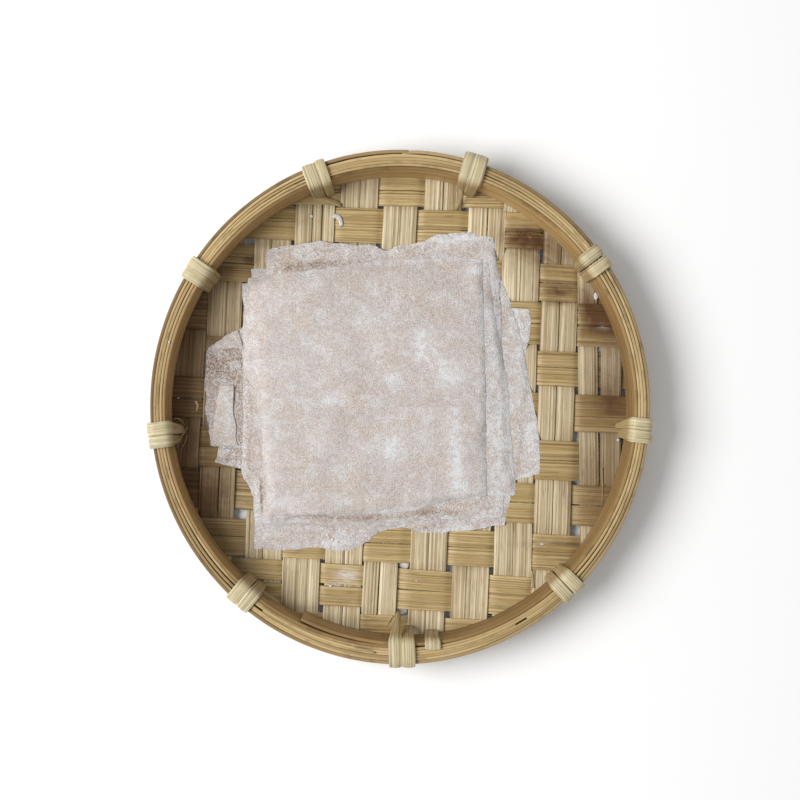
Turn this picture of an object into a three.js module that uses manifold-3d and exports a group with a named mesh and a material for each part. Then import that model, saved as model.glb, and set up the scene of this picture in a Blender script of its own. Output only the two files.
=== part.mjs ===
// Square sheets of thin dough stacked askew on a round tray woven from split bamboo.
// Millimetres, +Z up. The tray stands on the flat middle of its mat, at z = 0, and the origin
// is under the middle of the whole. +X is to the right and +Y away from the front of the tray.
// Every piece is a thin slab: two like grids of points, joined round their border.
import * as THREE from 'three';
import Module from 'manifold-3d';

const wasm = await Module();
wasm.setup();

// Driving dimensions, in millimetres

const gap = 0.3; // air between pieces that touch

// mat: pairs of flat strips, woven one over, one under
const stripThickness = 0.8;
const pairWidth = 13;
const uprightPlaces = [-81.9, -67.8, -51, -35.1, -18.9, -5, 12.7, 29.4, 45.1, 59.4, 77];
const crosswisePlaces = [-84.1, -70.3, -54.3, -35.6, -19, -1.4, 15.5, 33.1, 48.9, 67.7, 81.5];
const uprightLean = 0.04; // mm to the right for each mm up the tray
const crosswiseFall = 0.025; // mm towards the front for each mm to the right
const matFlatRadius = 20; // the mat is flat inside this and dished outside it
const matSlope = 0.045; // mm up for each mm further out

// rim: two hoops with splints packed between them, a little longer than it is wide
const hoopSegments = 60;
const hoopThickness = 1.5;
const outerHoop = { x: 92.4, y: 95.1, bottom: 2.3, top: 19.6 }; // half-widths of its outer face
const innerHoop = { x: 86.0, y: 86.4, lean: 1.4, top: 20 }; // half-widths of its inner face, at the top
const splint = { thickness: 1.15, bottom: 12, top: 20.2 };
const fillerArcs = { splint_filler_back: [38, 142], splint_filler_front: [218, 322] }; // degrees

// lashings: one strip of cane wrapped twice, side by side, at each of these angles
const lashingAngles = [109.7, 72.9, 36.8, -5.5, -47, -89.5, -129.6, -173.4, 146.4];
const cane = { width: 5.2, thickness: 0.8, groove: 0.35, insideGap: 0.75, outsideGap: 0.45 };
const lashingReach = 80.6; // how near the tray's middle its two ends come
const lashingTail = 83; // and its end under the mat

// sheets of dough, from the lowest to the top one: corners are front left, front right, back
// right and back left; a side's other points follow it from left to right or front to back
const sheetThickness = 0.6;
const sheetCells = 10;
const sheets = [
  {
    corners: [[-70.1, -20.9], [11.0, -46.3], [37.9, 35.6], [-43.2, 57.0]],
    front: [[-60.6, -23.5]],
    left: [[-69.0, -17.1]],
  },
  {
    corners: [[-71.7, -14.8], [17.4, -16.3], [15.1, 44.2], [-72.7, 22.3]],
    left: [[-73.4, -0.8], [-73.8, 10.2]],
    back: [[-68.5, 25.7], [-60.5, 29.5], [-37.8, 40.4]],
  },
  {
    corners: [[-55.2, -53.7], [33.2, -42.0], [30.2, 40.4], [-58.9, 33.6]],
    front: [[-45.7, -54.4], [-36.6, -54.1], [-18.9, -54.4], [-9.1, -48.0], [7.6, -44.6]],
    left: [[-55.2, -41.6], [-56.7, -30.3], [-60.1, -26.3], [-59.3, -12.5]],
  },
  {
    corners: [[-51.3, -44.9], [39.6, -44.9], [49.0, 36.9], [-42.2, 40.3]],
    front: [[-20.7, -44.5], [1.9, -45.7], [16.6, -47.5]],
    right: [[41.9, -34.7], [46.8, -4.9], [47.9, 21.1]],
  },
  {
    corners: [[-35.4, -42.6], [53.1, -25.3], [33.9, 63.2], [-54.2, 45.1]],
    right: [[52.7, -12.1], [50.4, 1.5], [47.4, 18.8], [42.5, 36.9], [38.0, 48.2]],
  },
  {
    corners: [[-53.0, -44.3], [38.7, -41.7], [34.6, 54.4], [-56.3, 52.2]],
    right: [[40.2, -19.9], [36.8, 21.4]],
  },
  {
    corners: [[-48.7, -29.3], [38.6, -23.6], [35.6, 64.1], [-50.6, 59.2]],
    right: [[38.6, 28.8], [37.9, 48.0]],
    back: [[-38.6, 61.5], [-22.9, 61.8], [-4.5, 59.5], [9.0, 62.4], [18.7, 65.4]],
    lifts: [{ at: [-26, 60], height: 1.4, spread: 16 }],
  },
  {
    corners: [[-59.8, -21.9], [30.7, -34.8], [29.2, 51.3], [-59.9, 46.6]],
    front: [[-54.4, -24.5], [-26.2, -34.1]],
    left: [[-58.9, -2.3], [-59.5, 17.6]],
  },
  {
    corners: [[-46.7, -42.2], [43.5, -33.6], [33.3, 54.2], [-56.8, 46.3]],
    right: [[43.7, -27.7], [41.3, 2.6], [36.6, 30.6]],
    lifts: [{ at: [-32, -41], height: 1.2, spread: 12 }],
  },
  {
    corners: [[-49.6, -41.0], [32.8, -33.6], [31.0, 55.9], [-57.4, 48.8]],
    front: [[-26.1, -41.2], [5.2, -39.2], [18.3, -35.1]],
    back: [[-22.4, 52.9], [0.0, 55.6]],
    left: [[-51.5, -19.8], [-53.1, -3.0], [-57.1, 10.1], [-59.5, 21.2]],
    lifts: [
      { at: [-34, -42], height: 0.9, spread: 9 },
      { at: [-32, 53], height: 1.6, spread: 14 },
    ],
  },
];

// Materials: one for each kind of surface, and a fresh copy for every mesh

const finishes = {
  upright: { color: 0xcdb37c, roughness: 0.62 },
  crosswise: { color: 0xb8935a, roughness: 0.62 },
  hoop: { color: 0x9a7440, roughness: 0.55 },
  splint: { color: 0xb3935a, roughness: 0.58 },
  cane: { color: 0xc9ad74, roughness: 0.5 },
  dough: { color: 0xd8cbc2, roughness: 0.85 },
};

const tray = new THREE.Group();

function addPiece(name, geometry, finish) {
  geometry.computeVertexNormals();
  const material = new THREE.MeshStandardMaterial({ ...finishes[finish], metalness: 0 });
  const mesh = new THREE.Mesh(geometry, material);
  mesh.name = name;
  tray.add(mesh);
}

// Slabs

// A closed slab between two grids of points. front(i, j) and back(i, j) give the points, and
// seen from outside the front face i runs to the right and j runs up. On a hoop the last
// column of points is the first one again.
function slab(columns, rows, front, back, isHoop = false) {
  const across = isHoop ? columns : columns + 1;
  const faceSize = across * (rows + 1);
  const positions = [];
  for (const face of [front, back]) {
    for (let j = 0; j <= rows; j++) {
      for (let i = 0; i < across; i++) positions.push(...face(i, j));
    }
  }
  const inFront = (i, j) => j * across + (i % across);
  const behind = (i, j) => faceSize + inFront(i, j);
  const triangles = [];
  const quad = (a, b, c, d) => triangles.push(a, b, c, a, c, d);
  for (let j = 0; j < rows; j++) {
    for (let i = 0; i < columns; i++) {
      quad(inFront(i, j), inFront(i + 1, j), inFront(i + 1, j + 1), inFront(i, j + 1));
      quad(behind(i, j), behind(i, j + 1), behind(i + 1, j + 1), behind(i + 1, j));
    }
  }
  for (let i = 0; i < columns; i++) {
    quad(inFront(i + 1, 0), inFront(i, 0), behind(i, 0), behind(i + 1, 0));
    quad(inFront(i, rows), inFront(i + 1, rows), behind(i + 1, rows), behind(i, rows));
  }
  if (!isHoop) {
    for (let j = 0; j < rows; j++) {
      quad(inFront(0, j), inFront(0, j + 1), behind(0, j + 1), behind(0, j));
      quad(inFront(columns, j + 1), inFront(columns, j), behind(columns, j), behind(columns, j + 1));
    }
  }
  const geometry = new THREE.BufferGeometry();
  geometry.setAttribute('position', new THREE.Float32BufferAttribute(positions, 3));
  geometry.setIndex(triangles);
  return geometry;
}

// A point on an oval whose half-widths are x and y
const onOval = (x, y, angle, z) => [x * Math.cos(angle), y * Math.sin(angle), z];

// Mat

const levelStep = (stripThickness + gap) / 2; // a strip's middle lies this far over or under the mat's
const matHalfThickness = levelStep + stripThickness / 2;
const matTrim = {
  x: outerHoop.x - hoopThickness - gap,
  y: outerHoop.y - hoopThickness - gap,
};

// Height of the mat's middle surface
function matHeight(x, y) {
  return matHalfThickness + matSlope * Math.max(0, Math.hypot(x, y) - matFlatRadius);
}

// Where the edge line of an upright pair crosses that of a crosswise pair
function crossing(uprightPlace, crosswisePlace) {
  const x = (uprightPlace + uprightLean * crosswisePlace) / (1 + uprightLean * crosswiseFall);
  return [x, crosswisePlace - crosswiseFall * x];
}

const toSolid = (geometry) =>
  new wasm.Manifold(
    new wasm.Mesh({
      numProp: 3,
      vertProperties: geometry.attributes.position.array,
      triVerts: new Uint32Array(geometry.index.array),
    }),
  );

function fromSolid(solid) {
  const { vertProperties, triVerts } = solid.getMesh();
  const geometry = new THREE.BufferGeometry();
  geometry.setAttribute('position', new THREE.BufferAttribute(vertProperties, 3));
  geometry.setIndex(new THREE.BufferAttribute(triVerts, 1));
  return geometry;
}

// A drum on the oval that the mat is trimmed to
function trimmingDrum() {
  const [low, high] = [-5, 25];
  const angle = (i) => (i / hoopSegments) * 2 * Math.PI;
  const rim = Array.from({ length: hoopSegments }, (_, i) =>
    new THREE.Vector2(matTrim.x * Math.cos(angle(i)), matTrim.y * Math.sin(angle(i))));
  const drum = new THREE.ExtrudeGeometry(new THREE.Shape(rim), {
    depth: high - low,
    bevelEnabled: false,
  });
  drum.translate(0, 0, low);
  return mergedSolid(drum);
}

// A solid from a geometry whose faces don't share their corners yet
function mergedSolid(geometry) {
  const corners = geometry.attributes.position;
  const places = new Map();
  const positions = [];
  const triangles = [];
  for (let i = 0; i < corners.count; i++) {
    const point = [corners.getX(i), corners.getY(i), corners.getZ(i)];
    const key = point.map((value) => value.toFixed(4)).join();
    if (!places.has(key)) {
      places.set(key, places.size);
      positions.push(...point);
    }
    triangles.push(places.get(key));
  }
  const merged = new THREE.BufferGeometry();
  merged.setAttribute('position', new THREE.Float32BufferAttribute(positions, 3));
  merged.setIndex(triangles);
  return toSolid(merged);
}

const drum = trimmingDrum();
const matReach = 100; // the strips are made this long either way, then trimmed to the oval

// One pair of strips: its two edge lines run past the edge lines of all the pairs it crosses.
// It lies over a crossed pair where isOver(k) is true.
function wovenPair(place, crossedPlaces, isOver, meet, isUpright) {
  const edges = [place - pairWidth / 2, place + pairWidth / 2];
  const stations = [{ across: -matReach, over: isOver(0) }];
  crossedPlaces.forEach((crossed, k) => {
    stations.push({ across: crossed - pairWidth / 2, over: isOver(k) });
    stations.push({ across: crossed + pairWidth / 2, over: isOver(k) });
  });
  stations.push({ across: matReach, over: isOver(crossedPlaces.length - 1) });
  const point = (edge, station, side) => {
    const [x, y] = meet(edge, station.across);
    const level = station.over ? levelStep : -levelStep;
    return [x, y, matHeight(x, y) + level + (side * stripThickness) / 2];
  };
  const last = stations.length - 1;
  const grid = (side) => (isUpright
    ? (i, j) => point(edges[i], stations[j], side)
    : (i, j) => point(edges[j], stations[i], side));
  const strip = isUpright ? slab(1, last, grid(1), grid(-1)) : slab(last, 1, grid(1), grid(-1));
  return fromSolid(toSolid(strip).intersect(drum));
}

uprightPlaces.forEach((place, i) => {
  const isOver = (j) => (i + j) % 2 === 0;
  const strip = wovenPair(place, crosswisePlaces, isOver, (edge, across) => crossing(edge, across), true);
  addPiece(`mat_upright_${i + 1}`, strip, 'upright');
});

crosswisePlaces.forEach((place, j) => {
  const isOver = (i) => (i + j) % 2 === 1;
  const strip = wovenPair(place, uprightPlaces, isOver, (edge, across) => crossing(across, edge), false);
  addPiece(`mat_crosswise_${j + 1}`, strip, 'crosswise');
});

// Rim

// A hoop, or part of one from one angle to another, with its faces given at each angle
function ring(outerFace, innerFace, bottom, top, [from, to] = [0, 360]) {
  const isHoop = to - from === 360;
  const columns = Math.round((hoopSegments * (to - from)) / 360);
  const angle = (i) => THREE.MathUtils.degToRad(from + ((to - from) * i) / columns);
  const height = (j) => (j === 0 ? bottom : top);
  return slab(
    columns,
    1,
    (i, j) => outerFace(angle(i), height(j)),
    (i, j) => innerFace(angle(i), height(j)),
    isHoop,
  );
}

const inset = (oval, by) => (angle, z) => onOval(oval.x - by, oval.y - by, angle, z);

addPiece(
  'hoop_outer',
  ring(inset(outerHoop, 0), inset(outerHoop, hoopThickness), outerHoop.bottom, outerHoop.top),
  'hoop',
);

// The inner hoop rests over the mat and leans outwards as it rises
const innerBottom = matHeight(innerHoop.x + hoopThickness, 0) + matHalfThickness + gap;
const leaning = (by) => (angle, z) => {
  const lean = innerHoop.lean * ((innerHoop.top - z) / (innerHoop.top - innerBottom));
  return onOval(innerHoop.x + by - lean, innerHoop.y + by - lean, angle, z);
};
addPiece(
  'hoop_inner',
  ring(leaning(hoopThickness), leaning(0), innerBottom, innerHoop.top),
  'hoop',
);

const splintInset = hoopThickness + gap;
addPiece(
  'splint_outer',
  ring(inset(outerHoop, splintInset), inset(outerHoop, splintInset + splint.thickness),
    splint.bottom, splint.top),
  'splint',
);
addPiece(
  'splint_inner',
  ring(inset(innerHoop, -splintInset - splint.thickness), inset(innerHoop, -splintInset),
    splint.bottom, splint.top),
  'splint',
);
for (const [name, span] of Object.entries(fillerArcs)) {
  const arc = ring(
    inset(outerHoop, splintInset + splint.thickness + gap),
    inset(innerHoop, -splintInset - splint.thickness - gap),
    splint.bottom,
    splint.top,
    span,
  );
  addPiece(name, arc, 'splint');
}

// Lashings

// The cane's middle line in the upright plane through the tray's middle: distance out, height
function lashingLine(rimInside, rimOutside) {
  const half = cane.thickness / 2;
  const overRim = splint.top + gap + half;
  const underHoop = outerHoop.bottom - gap - half;
  const outside = rimOutside + cane.outsideGap + half;
  const inside = rimInside - cane.insideGap;
  return [
    [lashingReach, matHeight(lashingReach, 0) + matHalfThickness + gap + half],
    [inside - 1.7, overRim - 3],
    [inside, overRim],
    [outside - 0.7, overRim],
    [outside, overRim - 0.7],
    [outside, underHoop],
    [lashingTail, underHoop],
  ];
}

const ovalRadius = ({ x, y }, angle) => (x * y) / Math.hypot(y * Math.cos(angle), x * Math.sin(angle));

// Offsets the line to one side of the cane, square to its two neighbouring stretches
function offsetLine(line, by) {
  return line.map((point, k) => {
    const before = line[Math.max(k - 1, 0)];
    const after = line[Math.min(k + 1, line.length - 1)];
    const along = new THREE.Vector2(after[0] - before[0], after[1] - before[1]).normalize();
    return [point[0] + along.y * by, point[1] - along.x * by];
  });
}

// Across the two turns: the outer face dips between them
const caneProfile = [
  { across: -cane.width, dip: 0 },
  { across: -cane.width * 0.12, dip: 0 },
  { across: 0, dip: cane.groove },
  { across: cane.width * 0.12, dip: 0 },
  { across: cane.width, dip: 0 },
];

function lashing(degrees) {
  const angle = THREE.MathUtils.degToRad(degrees);
  const line = lashingLine(ovalRadius(innerHoop, angle), ovalRadius(outerHoop, angle));
  const innerFace = offsetLine(line, cane.thickness / 2);
  const place = (across, [out, z]) => [
    out * Math.cos(angle) - across * Math.sin(angle),
    out * Math.sin(angle) + across * Math.cos(angle),
    z,
  ];
  return slab(
    caneProfile.length - 1,
    line.length - 1,
    (i, j) => place(caneProfile[i].across, innerFace[j]),
    (i, j) => place(caneProfile[i].across, offsetLine(line, caneProfile[i].dip - cane.thickness / 2)[j]),
  );
}

lashingAngles.forEach((degrees, k) => addPiece(`lashing_${k + 1}`, lashing(degrees), 'cane'));

// Sheets

// The pile's top as a grid of heights, which grows as each sheet is laid
const pileCell = 1.5;
const pileReach = 84;
const pileCells = Math.round((2 * pileReach) / pileCell) + 1;
const cellPlace = (k) => k * pileCell - pileReach;
const pile = Array.from({ length: pileCells }, (_, row) =>
  Array.from({ length: pileCells }, (__, column) =>
    matHeight(cellPlace(column), cellPlace(row)) + matHalfThickness));

// Calls visit(row, column, weights) for each cell of the pile in a triangle of [x, y] points.
// The slack takes in the cells just outside its edges.
const edgeSlack = 0.12;
function overTriangle([a, b, c], visit) {
  const area = (b[0] - a[0]) * (c[1] - a[1]) - (c[0] - a[0]) * (b[1] - a[1]);
  const toCell = (value) => (value + pileReach) / pileCell;
  const low = [0, 1].map((axis) => Math.floor(toCell(Math.min(a[axis], b[axis], c[axis]))));
  const high = [0, 1].map((axis) => Math.ceil(toCell(Math.max(a[axis], b[axis], c[axis]))));
  for (let row = low[1]; row <= high[1]; row++) {
    for (let column = low[0]; column <= high[0]; column++) {
      const [x, y] = [cellPlace(column), cellPlace(row)];
      const second = ((x - a[0]) * (c[1] - a[1]) - (c[0] - a[0]) * (y - a[1])) / area;
      const third = ((b[0] - a[0]) * (y - a[1]) - (x - a[0]) * (b[1] - a[1])) / area;
      const weights = [1 - second - third, second, third];
      if (Math.min(...weights) > -edgeSlack) visit(row, column, weights);
    }
  }
}

// The sheet's grid of [x, y] points: a patch blended from its four sides
function sheetGrid({ corners, front = [], right = [], back = [], left = [] }) {
  const [frontLeft, frontRight, backRight, backLeft] = corners;
  const side = (from, between, to) => {
    const points = [from, ...between, to].map(([x, y]) => new THREE.Vector2(x, y));
    return new THREE.SplineCurve(points);
  };
  const sides = {
    front: side(frontLeft, front, frontRight),
    back: side(backLeft, back, backRight),
    left: side(frontLeft, left, backLeft),
    right: side(frontRight, right, backRight),
  };
  const blend = (a, b, t) => a.clone().lerp(b, t);
  const [a, b, c, d] = corners.map(([x, y]) => new THREE.Vector2(x, y));
  const point = (u, v) => {
    const acrossSides = blend(sides.left.getPointAt(v), sides.right.getPointAt(v), u);
    const alongSides = blend(sides.front.getPointAt(u), sides.back.getPointAt(u), v);
    const flat = blend(blend(a, b, u), blend(d, c, u), v);
    const place = acrossSides.add(alongSides).sub(flat);
    return [place.x, place.y];
  };
  return Array.from({ length: sheetCells + 1 }, (_, j) =>
    Array.from({ length: sheetCells + 1 }, (__, i) => point(i / sheetCells, j / sheetCells)));
}

// The two triangles of each cell of a sheet, as grid places, split as slab() splits them
const sheetTriangles = [];
for (let j = 0; j < sheetCells; j++) {
  for (let i = 0; i < sheetCells; i++) {
    sheetTriangles.push([[i, j], [i + 1, j], [i + 1, j + 1]], [[i, j], [i + 1, j + 1], [i, j + 1]]);
  }
}

const liftAt = (lifts, [x, y]) => lifts.reduce((sum, { at, height, spread }) => {
  const distance = Math.hypot(x - at[0], y - at[1]) / spread;
  return sum + height * Math.exp(-distance * distance);
}, 0);

// Lays a sheet on the pile: each grid point rests as high as the highest thing under the
// triangles round it, plus the sheet's own lifts, and the sheet becomes the pile's new top
function layOnPile(sheet) {
  const grid = sheetGrid(sheet);
  const heights = grid.map((row) => row.map(() => 0));
  for (const triangle of sheetTriangles) {
    const points = triangle.map(([i, j]) => grid[j][i]);
    overTriangle(points, (row, column) => {
      for (const [i, j] of triangle) heights[j][i] = Math.max(heights[j][i], pile[row][column]);
    });
  }
  const bottoms = heights.map((row, j) =>
    row.map((height, i) => height + gap + liftAt(sheet.lifts ?? [], grid[j][i])));
  for (const triangle of sheetTriangles) {
    const points = triangle.map(([i, j]) => grid[j][i]);
    const tops = triangle.map(([i, j]) => bottoms[j][i] + sheetThickness);
    overTriangle(points, (row, column, weights) => {
      const top = weights.reduce((sum, weight, k) => sum + weight * tops[k], 0);
      pile[row][column] = Math.max(pile[row][column], top);
    });
  }
  return slab(
    sheetCells,
    sheetCells,
    (i, j) => [...grid[j][i], bottoms[j][i] + sheetThickness],
    (i, j) => [...grid[j][i], bottoms[j][i]],
  );
}

sheets.forEach((sheet, k) => addPiece(`sheet_${k + 1}`, layOnPile(sheet), 'dough'));

// The origin is under the middle of the box round everything
const middle = new THREE.Box3().setFromObject(tray).getCenter(new THREE.Vector3());
tray.position.set(-middle.x, -middle.y, 0);

const part = new THREE.Group();
part.add(tray);

export default part;
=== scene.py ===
# Square sheets of thin dough stacked askew on a round tray woven from split bamboo. The script
# follows the tray as it is put together: mat, hoops, splints, cane lashings, and then the sheets,
# laid one on another, and what is loose. Sizes are in millimetres unless another unit is given.
import math

import bmesh
import bpy
import numpy as np
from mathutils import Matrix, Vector, noise


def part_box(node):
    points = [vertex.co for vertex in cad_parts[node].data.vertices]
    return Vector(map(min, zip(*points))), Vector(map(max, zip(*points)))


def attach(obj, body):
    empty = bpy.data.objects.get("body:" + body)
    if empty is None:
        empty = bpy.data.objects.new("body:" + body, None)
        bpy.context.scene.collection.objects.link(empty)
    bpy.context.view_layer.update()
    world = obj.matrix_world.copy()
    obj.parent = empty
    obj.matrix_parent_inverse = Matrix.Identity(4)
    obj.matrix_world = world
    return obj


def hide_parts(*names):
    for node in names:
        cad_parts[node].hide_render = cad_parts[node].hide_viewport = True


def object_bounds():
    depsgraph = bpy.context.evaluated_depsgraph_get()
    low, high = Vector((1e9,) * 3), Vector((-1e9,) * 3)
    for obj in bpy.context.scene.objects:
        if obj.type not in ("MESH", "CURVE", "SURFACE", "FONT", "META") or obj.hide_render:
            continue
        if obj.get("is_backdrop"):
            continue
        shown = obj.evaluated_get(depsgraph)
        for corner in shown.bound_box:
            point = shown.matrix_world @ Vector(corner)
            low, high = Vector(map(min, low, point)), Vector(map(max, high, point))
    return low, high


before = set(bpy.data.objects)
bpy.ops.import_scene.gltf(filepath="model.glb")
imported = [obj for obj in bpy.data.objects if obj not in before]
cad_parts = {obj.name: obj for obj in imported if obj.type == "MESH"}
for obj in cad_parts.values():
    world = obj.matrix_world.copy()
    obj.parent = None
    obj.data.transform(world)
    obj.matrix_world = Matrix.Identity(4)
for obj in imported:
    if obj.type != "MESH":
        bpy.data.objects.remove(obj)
cad_low, cad_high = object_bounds()

# ---------------------------------------------------------------------------------------
# Mat. Flat strips split from bamboo, laid in pairs and woven one over, one under. Each strip
# is a fine grid bent over and under the pairs it crosses, then given its thickness. The mat
# is dished: it stands on its middle, and its edge rises a little towards the hoops.

MM = 0.001
hoop_low, hoop_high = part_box("hoop_outer")
TRAY_MIDDLE = (hoop_low + hoop_high) / 2 / MM

# Each pair's two strips: both edges where they pass the tray's middle, and how far the strip
# leans to the right for each step to the back. Uprights from the left.
UPRIGHT_STRIPS = [
    [(-88.0, -81.3, 0.06), (-81.1, -75.2, 0.06)], [(-74.5, -67.5, 0.045), (-67.2, -61.4, 0.04)],
    [(-56.9, -50.5, 0.03), (-50.2, -43.1, 0.03)], [(-42.2, -35.9, 0.037), (-35.7, -28.0, 0.04)],
    [(-25.8, -18.6, 0.043), (-18.4, -11.8, 0.043)], [(-10.3, -4.4, 0.056), (-4.2, 2.5, 0.054)],
    [(6.2, 13.0, 0.04), (13.2, 20.0, 0.042)], [(22.7, 29.8, 0.045), (30.0, 36.6, 0.047)],
    [(37.1, 44.1, 0.027), (44.3, 51.3, 0.027)], [(52.2, 59.0, 0.034), (59.3, 65.9, 0.034)],
    [(67.6, 74.9, -0.01), (75.9, 83.6, 0.01)]]
# Crosswise ones from the front. These lean to the front for each step to the right.
CROSSWISE_STRIPS = [
    [(-91.0, -86.2, 0.04), (-86.0, -79.1, 0.045)], [(-76.5, -69.1, 0.052), (-68.8, -61.2, 0.07)],
    [(-59.1, -52.1, 0.048), (-51.9, -45.5, 0.05)], [(-41.7, -34.2, 0.048), (-34.0, -26.8, 0.044)],
    [(-25.4, -18.0, 0.041), (-17.8, -10.5, 0.041)], [(-6.9, -0.2, 0.037), (0.1, 7.6, 0.044)],
    [(10.5, 17.4, 0.044), (17.6, 23.5, 0.044)], [(26.0, 33.7, 0.044), (34.0, 42.0, 0.044)],
    [(43.6, 50.4, 0.063), (50.6, 57.6, 0.063)], [(61.6, 67.5, 0.036), (67.7, 74.8, 0.03)],
    [(75.9, 81.6, 0.02), (81.8, 87.5, 0.02)]]
STRIP_THICKNESS = 0.8
STRIP_ROUNDING = 0.12  # of its edges
MAT_OVAL = (90.3, 93.0)  # half-widths of the oval that the strips end on
MAT_MIDDLE = 0.95  # height of the mat's middle surface where it is flat
MAT_FLAT_REACH = 20.0  # the mat is flat this far from its middle
MAT_SLOPE = 0.045  # and then rises evenly towards the hoops
LEVEL_STEP = 0.55  # a strip's own middle lies this far over or under the mat's
RAMP_START = 0.4  # a strip starts to bend this far inside the edge of the pair it crosses


def on_tray(x, y, z):
    """A point measured from the tray's middle, in the frame and in metres."""
    return Vector((x + TRAY_MIDDLE.x, y + TRAY_MIDDLE.y, z)) * MM


def mat_rise(x, y):
    """How far the dished part of the mat has risen."""
    return MAT_SLOPE * np.maximum(0, np.hypot(x, y) - MAT_FLAT_REACH)


SEED_STEP = (7.31, 3.17, 5.53)  # how far one seed's noise lies from the next one's


def wobble(seed, unevenness, a, b=0.0):
    """Smooth noise along one or two measures, different for each seed. An unevenness is how far
    it reaches to both sides, and its waves to one step of each measure."""
    reach, waves_a, waves_b = unevenness
    return reach * noise.noise(Vector((a * waves_a + seed * SEED_STEP[0],
                                       b * waves_b + seed * SEED_STEP[1], seed * SEED_STEP[2])))


def spot(x, y, place, size):
    """A soft round or oval spot that is 1 in its middle."""
    return math.exp(-((x - place[0]) / size[0]) ** 2 - ((y - place[1]) / size[1]) ** 2)


def surface_layer(bm, name, is_vector):
    """A number or vector that a piece's vertices carry for its finish, new or already there."""
    kinds = bm.verts.layers.float_vector if is_vector else bm.verts.layers.float
    return kinds.get(name) or kinds.new(name)


def add_grid(bm, columns, rows, place, **values):
    """Adds a grid whose vertices place(u, v) puts in the frame, for u and v from 0 to 1. Each
    named value is a function of u and v too, and fills the number or vector of that name."""
    half_side = 0.5
    layers = {name: surface_layer(bm, name, isinstance(value(0, 0), tuple))
              for name, value in values.items()}
    grid = bmesh.ops.create_grid(bm, x_segments=columns, y_segments=rows, size=half_side)
    for vertex in grid["verts"]:
        u, v = vertex.co.x + half_side, vertex.co.y + half_side
        for name, value in values.items():
            vertex[layers[name]] = value(u, v)
        vertex.co = place(u, v)


ROUNDED_ANGLE = math.radians(50)  # edges that turn more than this are rounded
ROUNDING_CUTS = 2


def make_piece(name, bm, material, stands_for=(), thickness=0.0, rounding=0.0):
    """Makes a bmesh a piece of the tray, with its thickness, rounded edges, finish and body."""
    mesh = bpy.data.meshes.new(name)
    bm.to_mesh(mesh)
    bm.free()
    mesh.shade_smooth()
    mesh.materials.append(material)
    piece = bpy.data.objects.new(name, mesh)
    bpy.context.scene.collection.objects.link(piece)
    if thickness:
        wall = piece.modifiers.new("thickness", "SOLIDIFY")
        wall.thickness = thickness * MM
        wall.offset = 0
    if rounding:
        bevel = piece.modifiers.new("rounded_edge", "BEVEL")
        bevel.width = rounding * MM
        bevel.segments = ROUNDING_CUTS
        bevel.limit_method = "ANGLE"
        bevel.angle_limit = ROUNDED_ANGLE
    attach(piece, "root")
    if stands_for:
        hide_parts(*stands_for)
    return piece


def paint(red, green, blue):
    """A colour as a screen shows it, from 0 to 255, made linear for a shader by the sRGB curve."""
    shares = [channel / 255 for channel in (red, green, blue)]
    return tuple(s / 12.92 if s < 0.04 else ((s + 0.055) / 1.055) ** 2.4 for s in shares) + (1.0,)


class Finish:
    """A material whose nodes are added one by one and feed one Principled shader."""

    def __init__(self, name, roughness, specular):
        self.material = bpy.data.materials.new(name)
        self.material.use_nodes = True
        self.nodes = self.material.node_tree.nodes
        self.links = self.material.node_tree.links
        self.shader = self.nodes["Principled BSDF"]
        self.shader.inputs["Roughness"].default_value = roughness
        self.shader.inputs["Specular IOR Level"].default_value = specular

    def add(self, kind, inputs, **settings):
        """Adds a node. Each input is a number, a colour or another node's output."""
        node = self.nodes.new("ShaderNode" + kind)
        for name, value in settings.items():
            setattr(node, name, value)
        for name, value in inputs.items():
            socket = node.inputs[name]
            if isinstance(value, bpy.types.NodeSocket):
                self.links.new(value, socket)
            else:
                socket.default_value = value
        return node

    def surface_value(self, name, output="Fac"):
        """Reads an attribute that the piece's mesh carries."""
        return self.add("Attribute", {}, attribute_name=name).outputs[output]

    def patches(self, place, layer):
        """Patches of noise as a share from 0 to 1. A layer is their waves to the millimetre along
        each measure, their detail and its strength, and the noise that becomes 0 and 1."""
        waves, detail, strength, low, high = layer
        mapped = self.add("Mapping", {"Vector": place, "Scale": waves}).outputs["Vector"]
        cloud = self.add("TexNoise", {"Vector": mapped, "Scale": 1.0, "Detail": detail,
                                      "Roughness": strength}).outputs["Fac"]
        return self.share(cloud, low, high)

    def share(self, value, low, high):
        """Stretches a value so that low becomes 0 and high becomes 1, held there outside."""
        return self.add("MapRange", {"Value": value, "From Min": low, "From Max": high}).outputs[0]

    def plus(self, first, second):
        return self.add("Math", {0: first, 1: second}, operation="ADD").outputs[0]

    def times(self, first, second):
        return self.add("Math", {0: first, 1: second}, operation="MULTIPLY").outputs[0]

    def weighed(self, place, layers, total=0.0):
        """Adds layers of patches, each with its share in front, to a value."""
        for share, layer in layers:
            total = self.plus(total, self.times(self.patches(place, layer), share))
        return total

    def blend(self, share, first, second, way="MIX"):
        """Lays a second colour over a first one, as far as a share says."""
        node = self.add("Mix", {"Factor": share}, data_type="RGBA", blend_type=way)
        # Sockets 6 and 7 take the two colours, and output 2 gives the mixed one.
        for socket, colour in ((node.inputs[6], first), (node.inputs[7], second)):
            if isinstance(colour, bpy.types.NodeSocket):
                self.links.new(colour, socket)
            else:
                socket.default_value = colour
        return node.outputs[2]

    def relief(self, height, depth):
        """Makes a height from 0 to 1 the surface's bump, depth millimetres deep."""
        bump = self.add("Bump", {"Height": height, "Distance": depth * MM})
        self.feed("Normal", bump.outputs["Normal"])

    def feed(self, socket, output):
        self.links.new(output, self.shader.inputs[socket])


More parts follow.
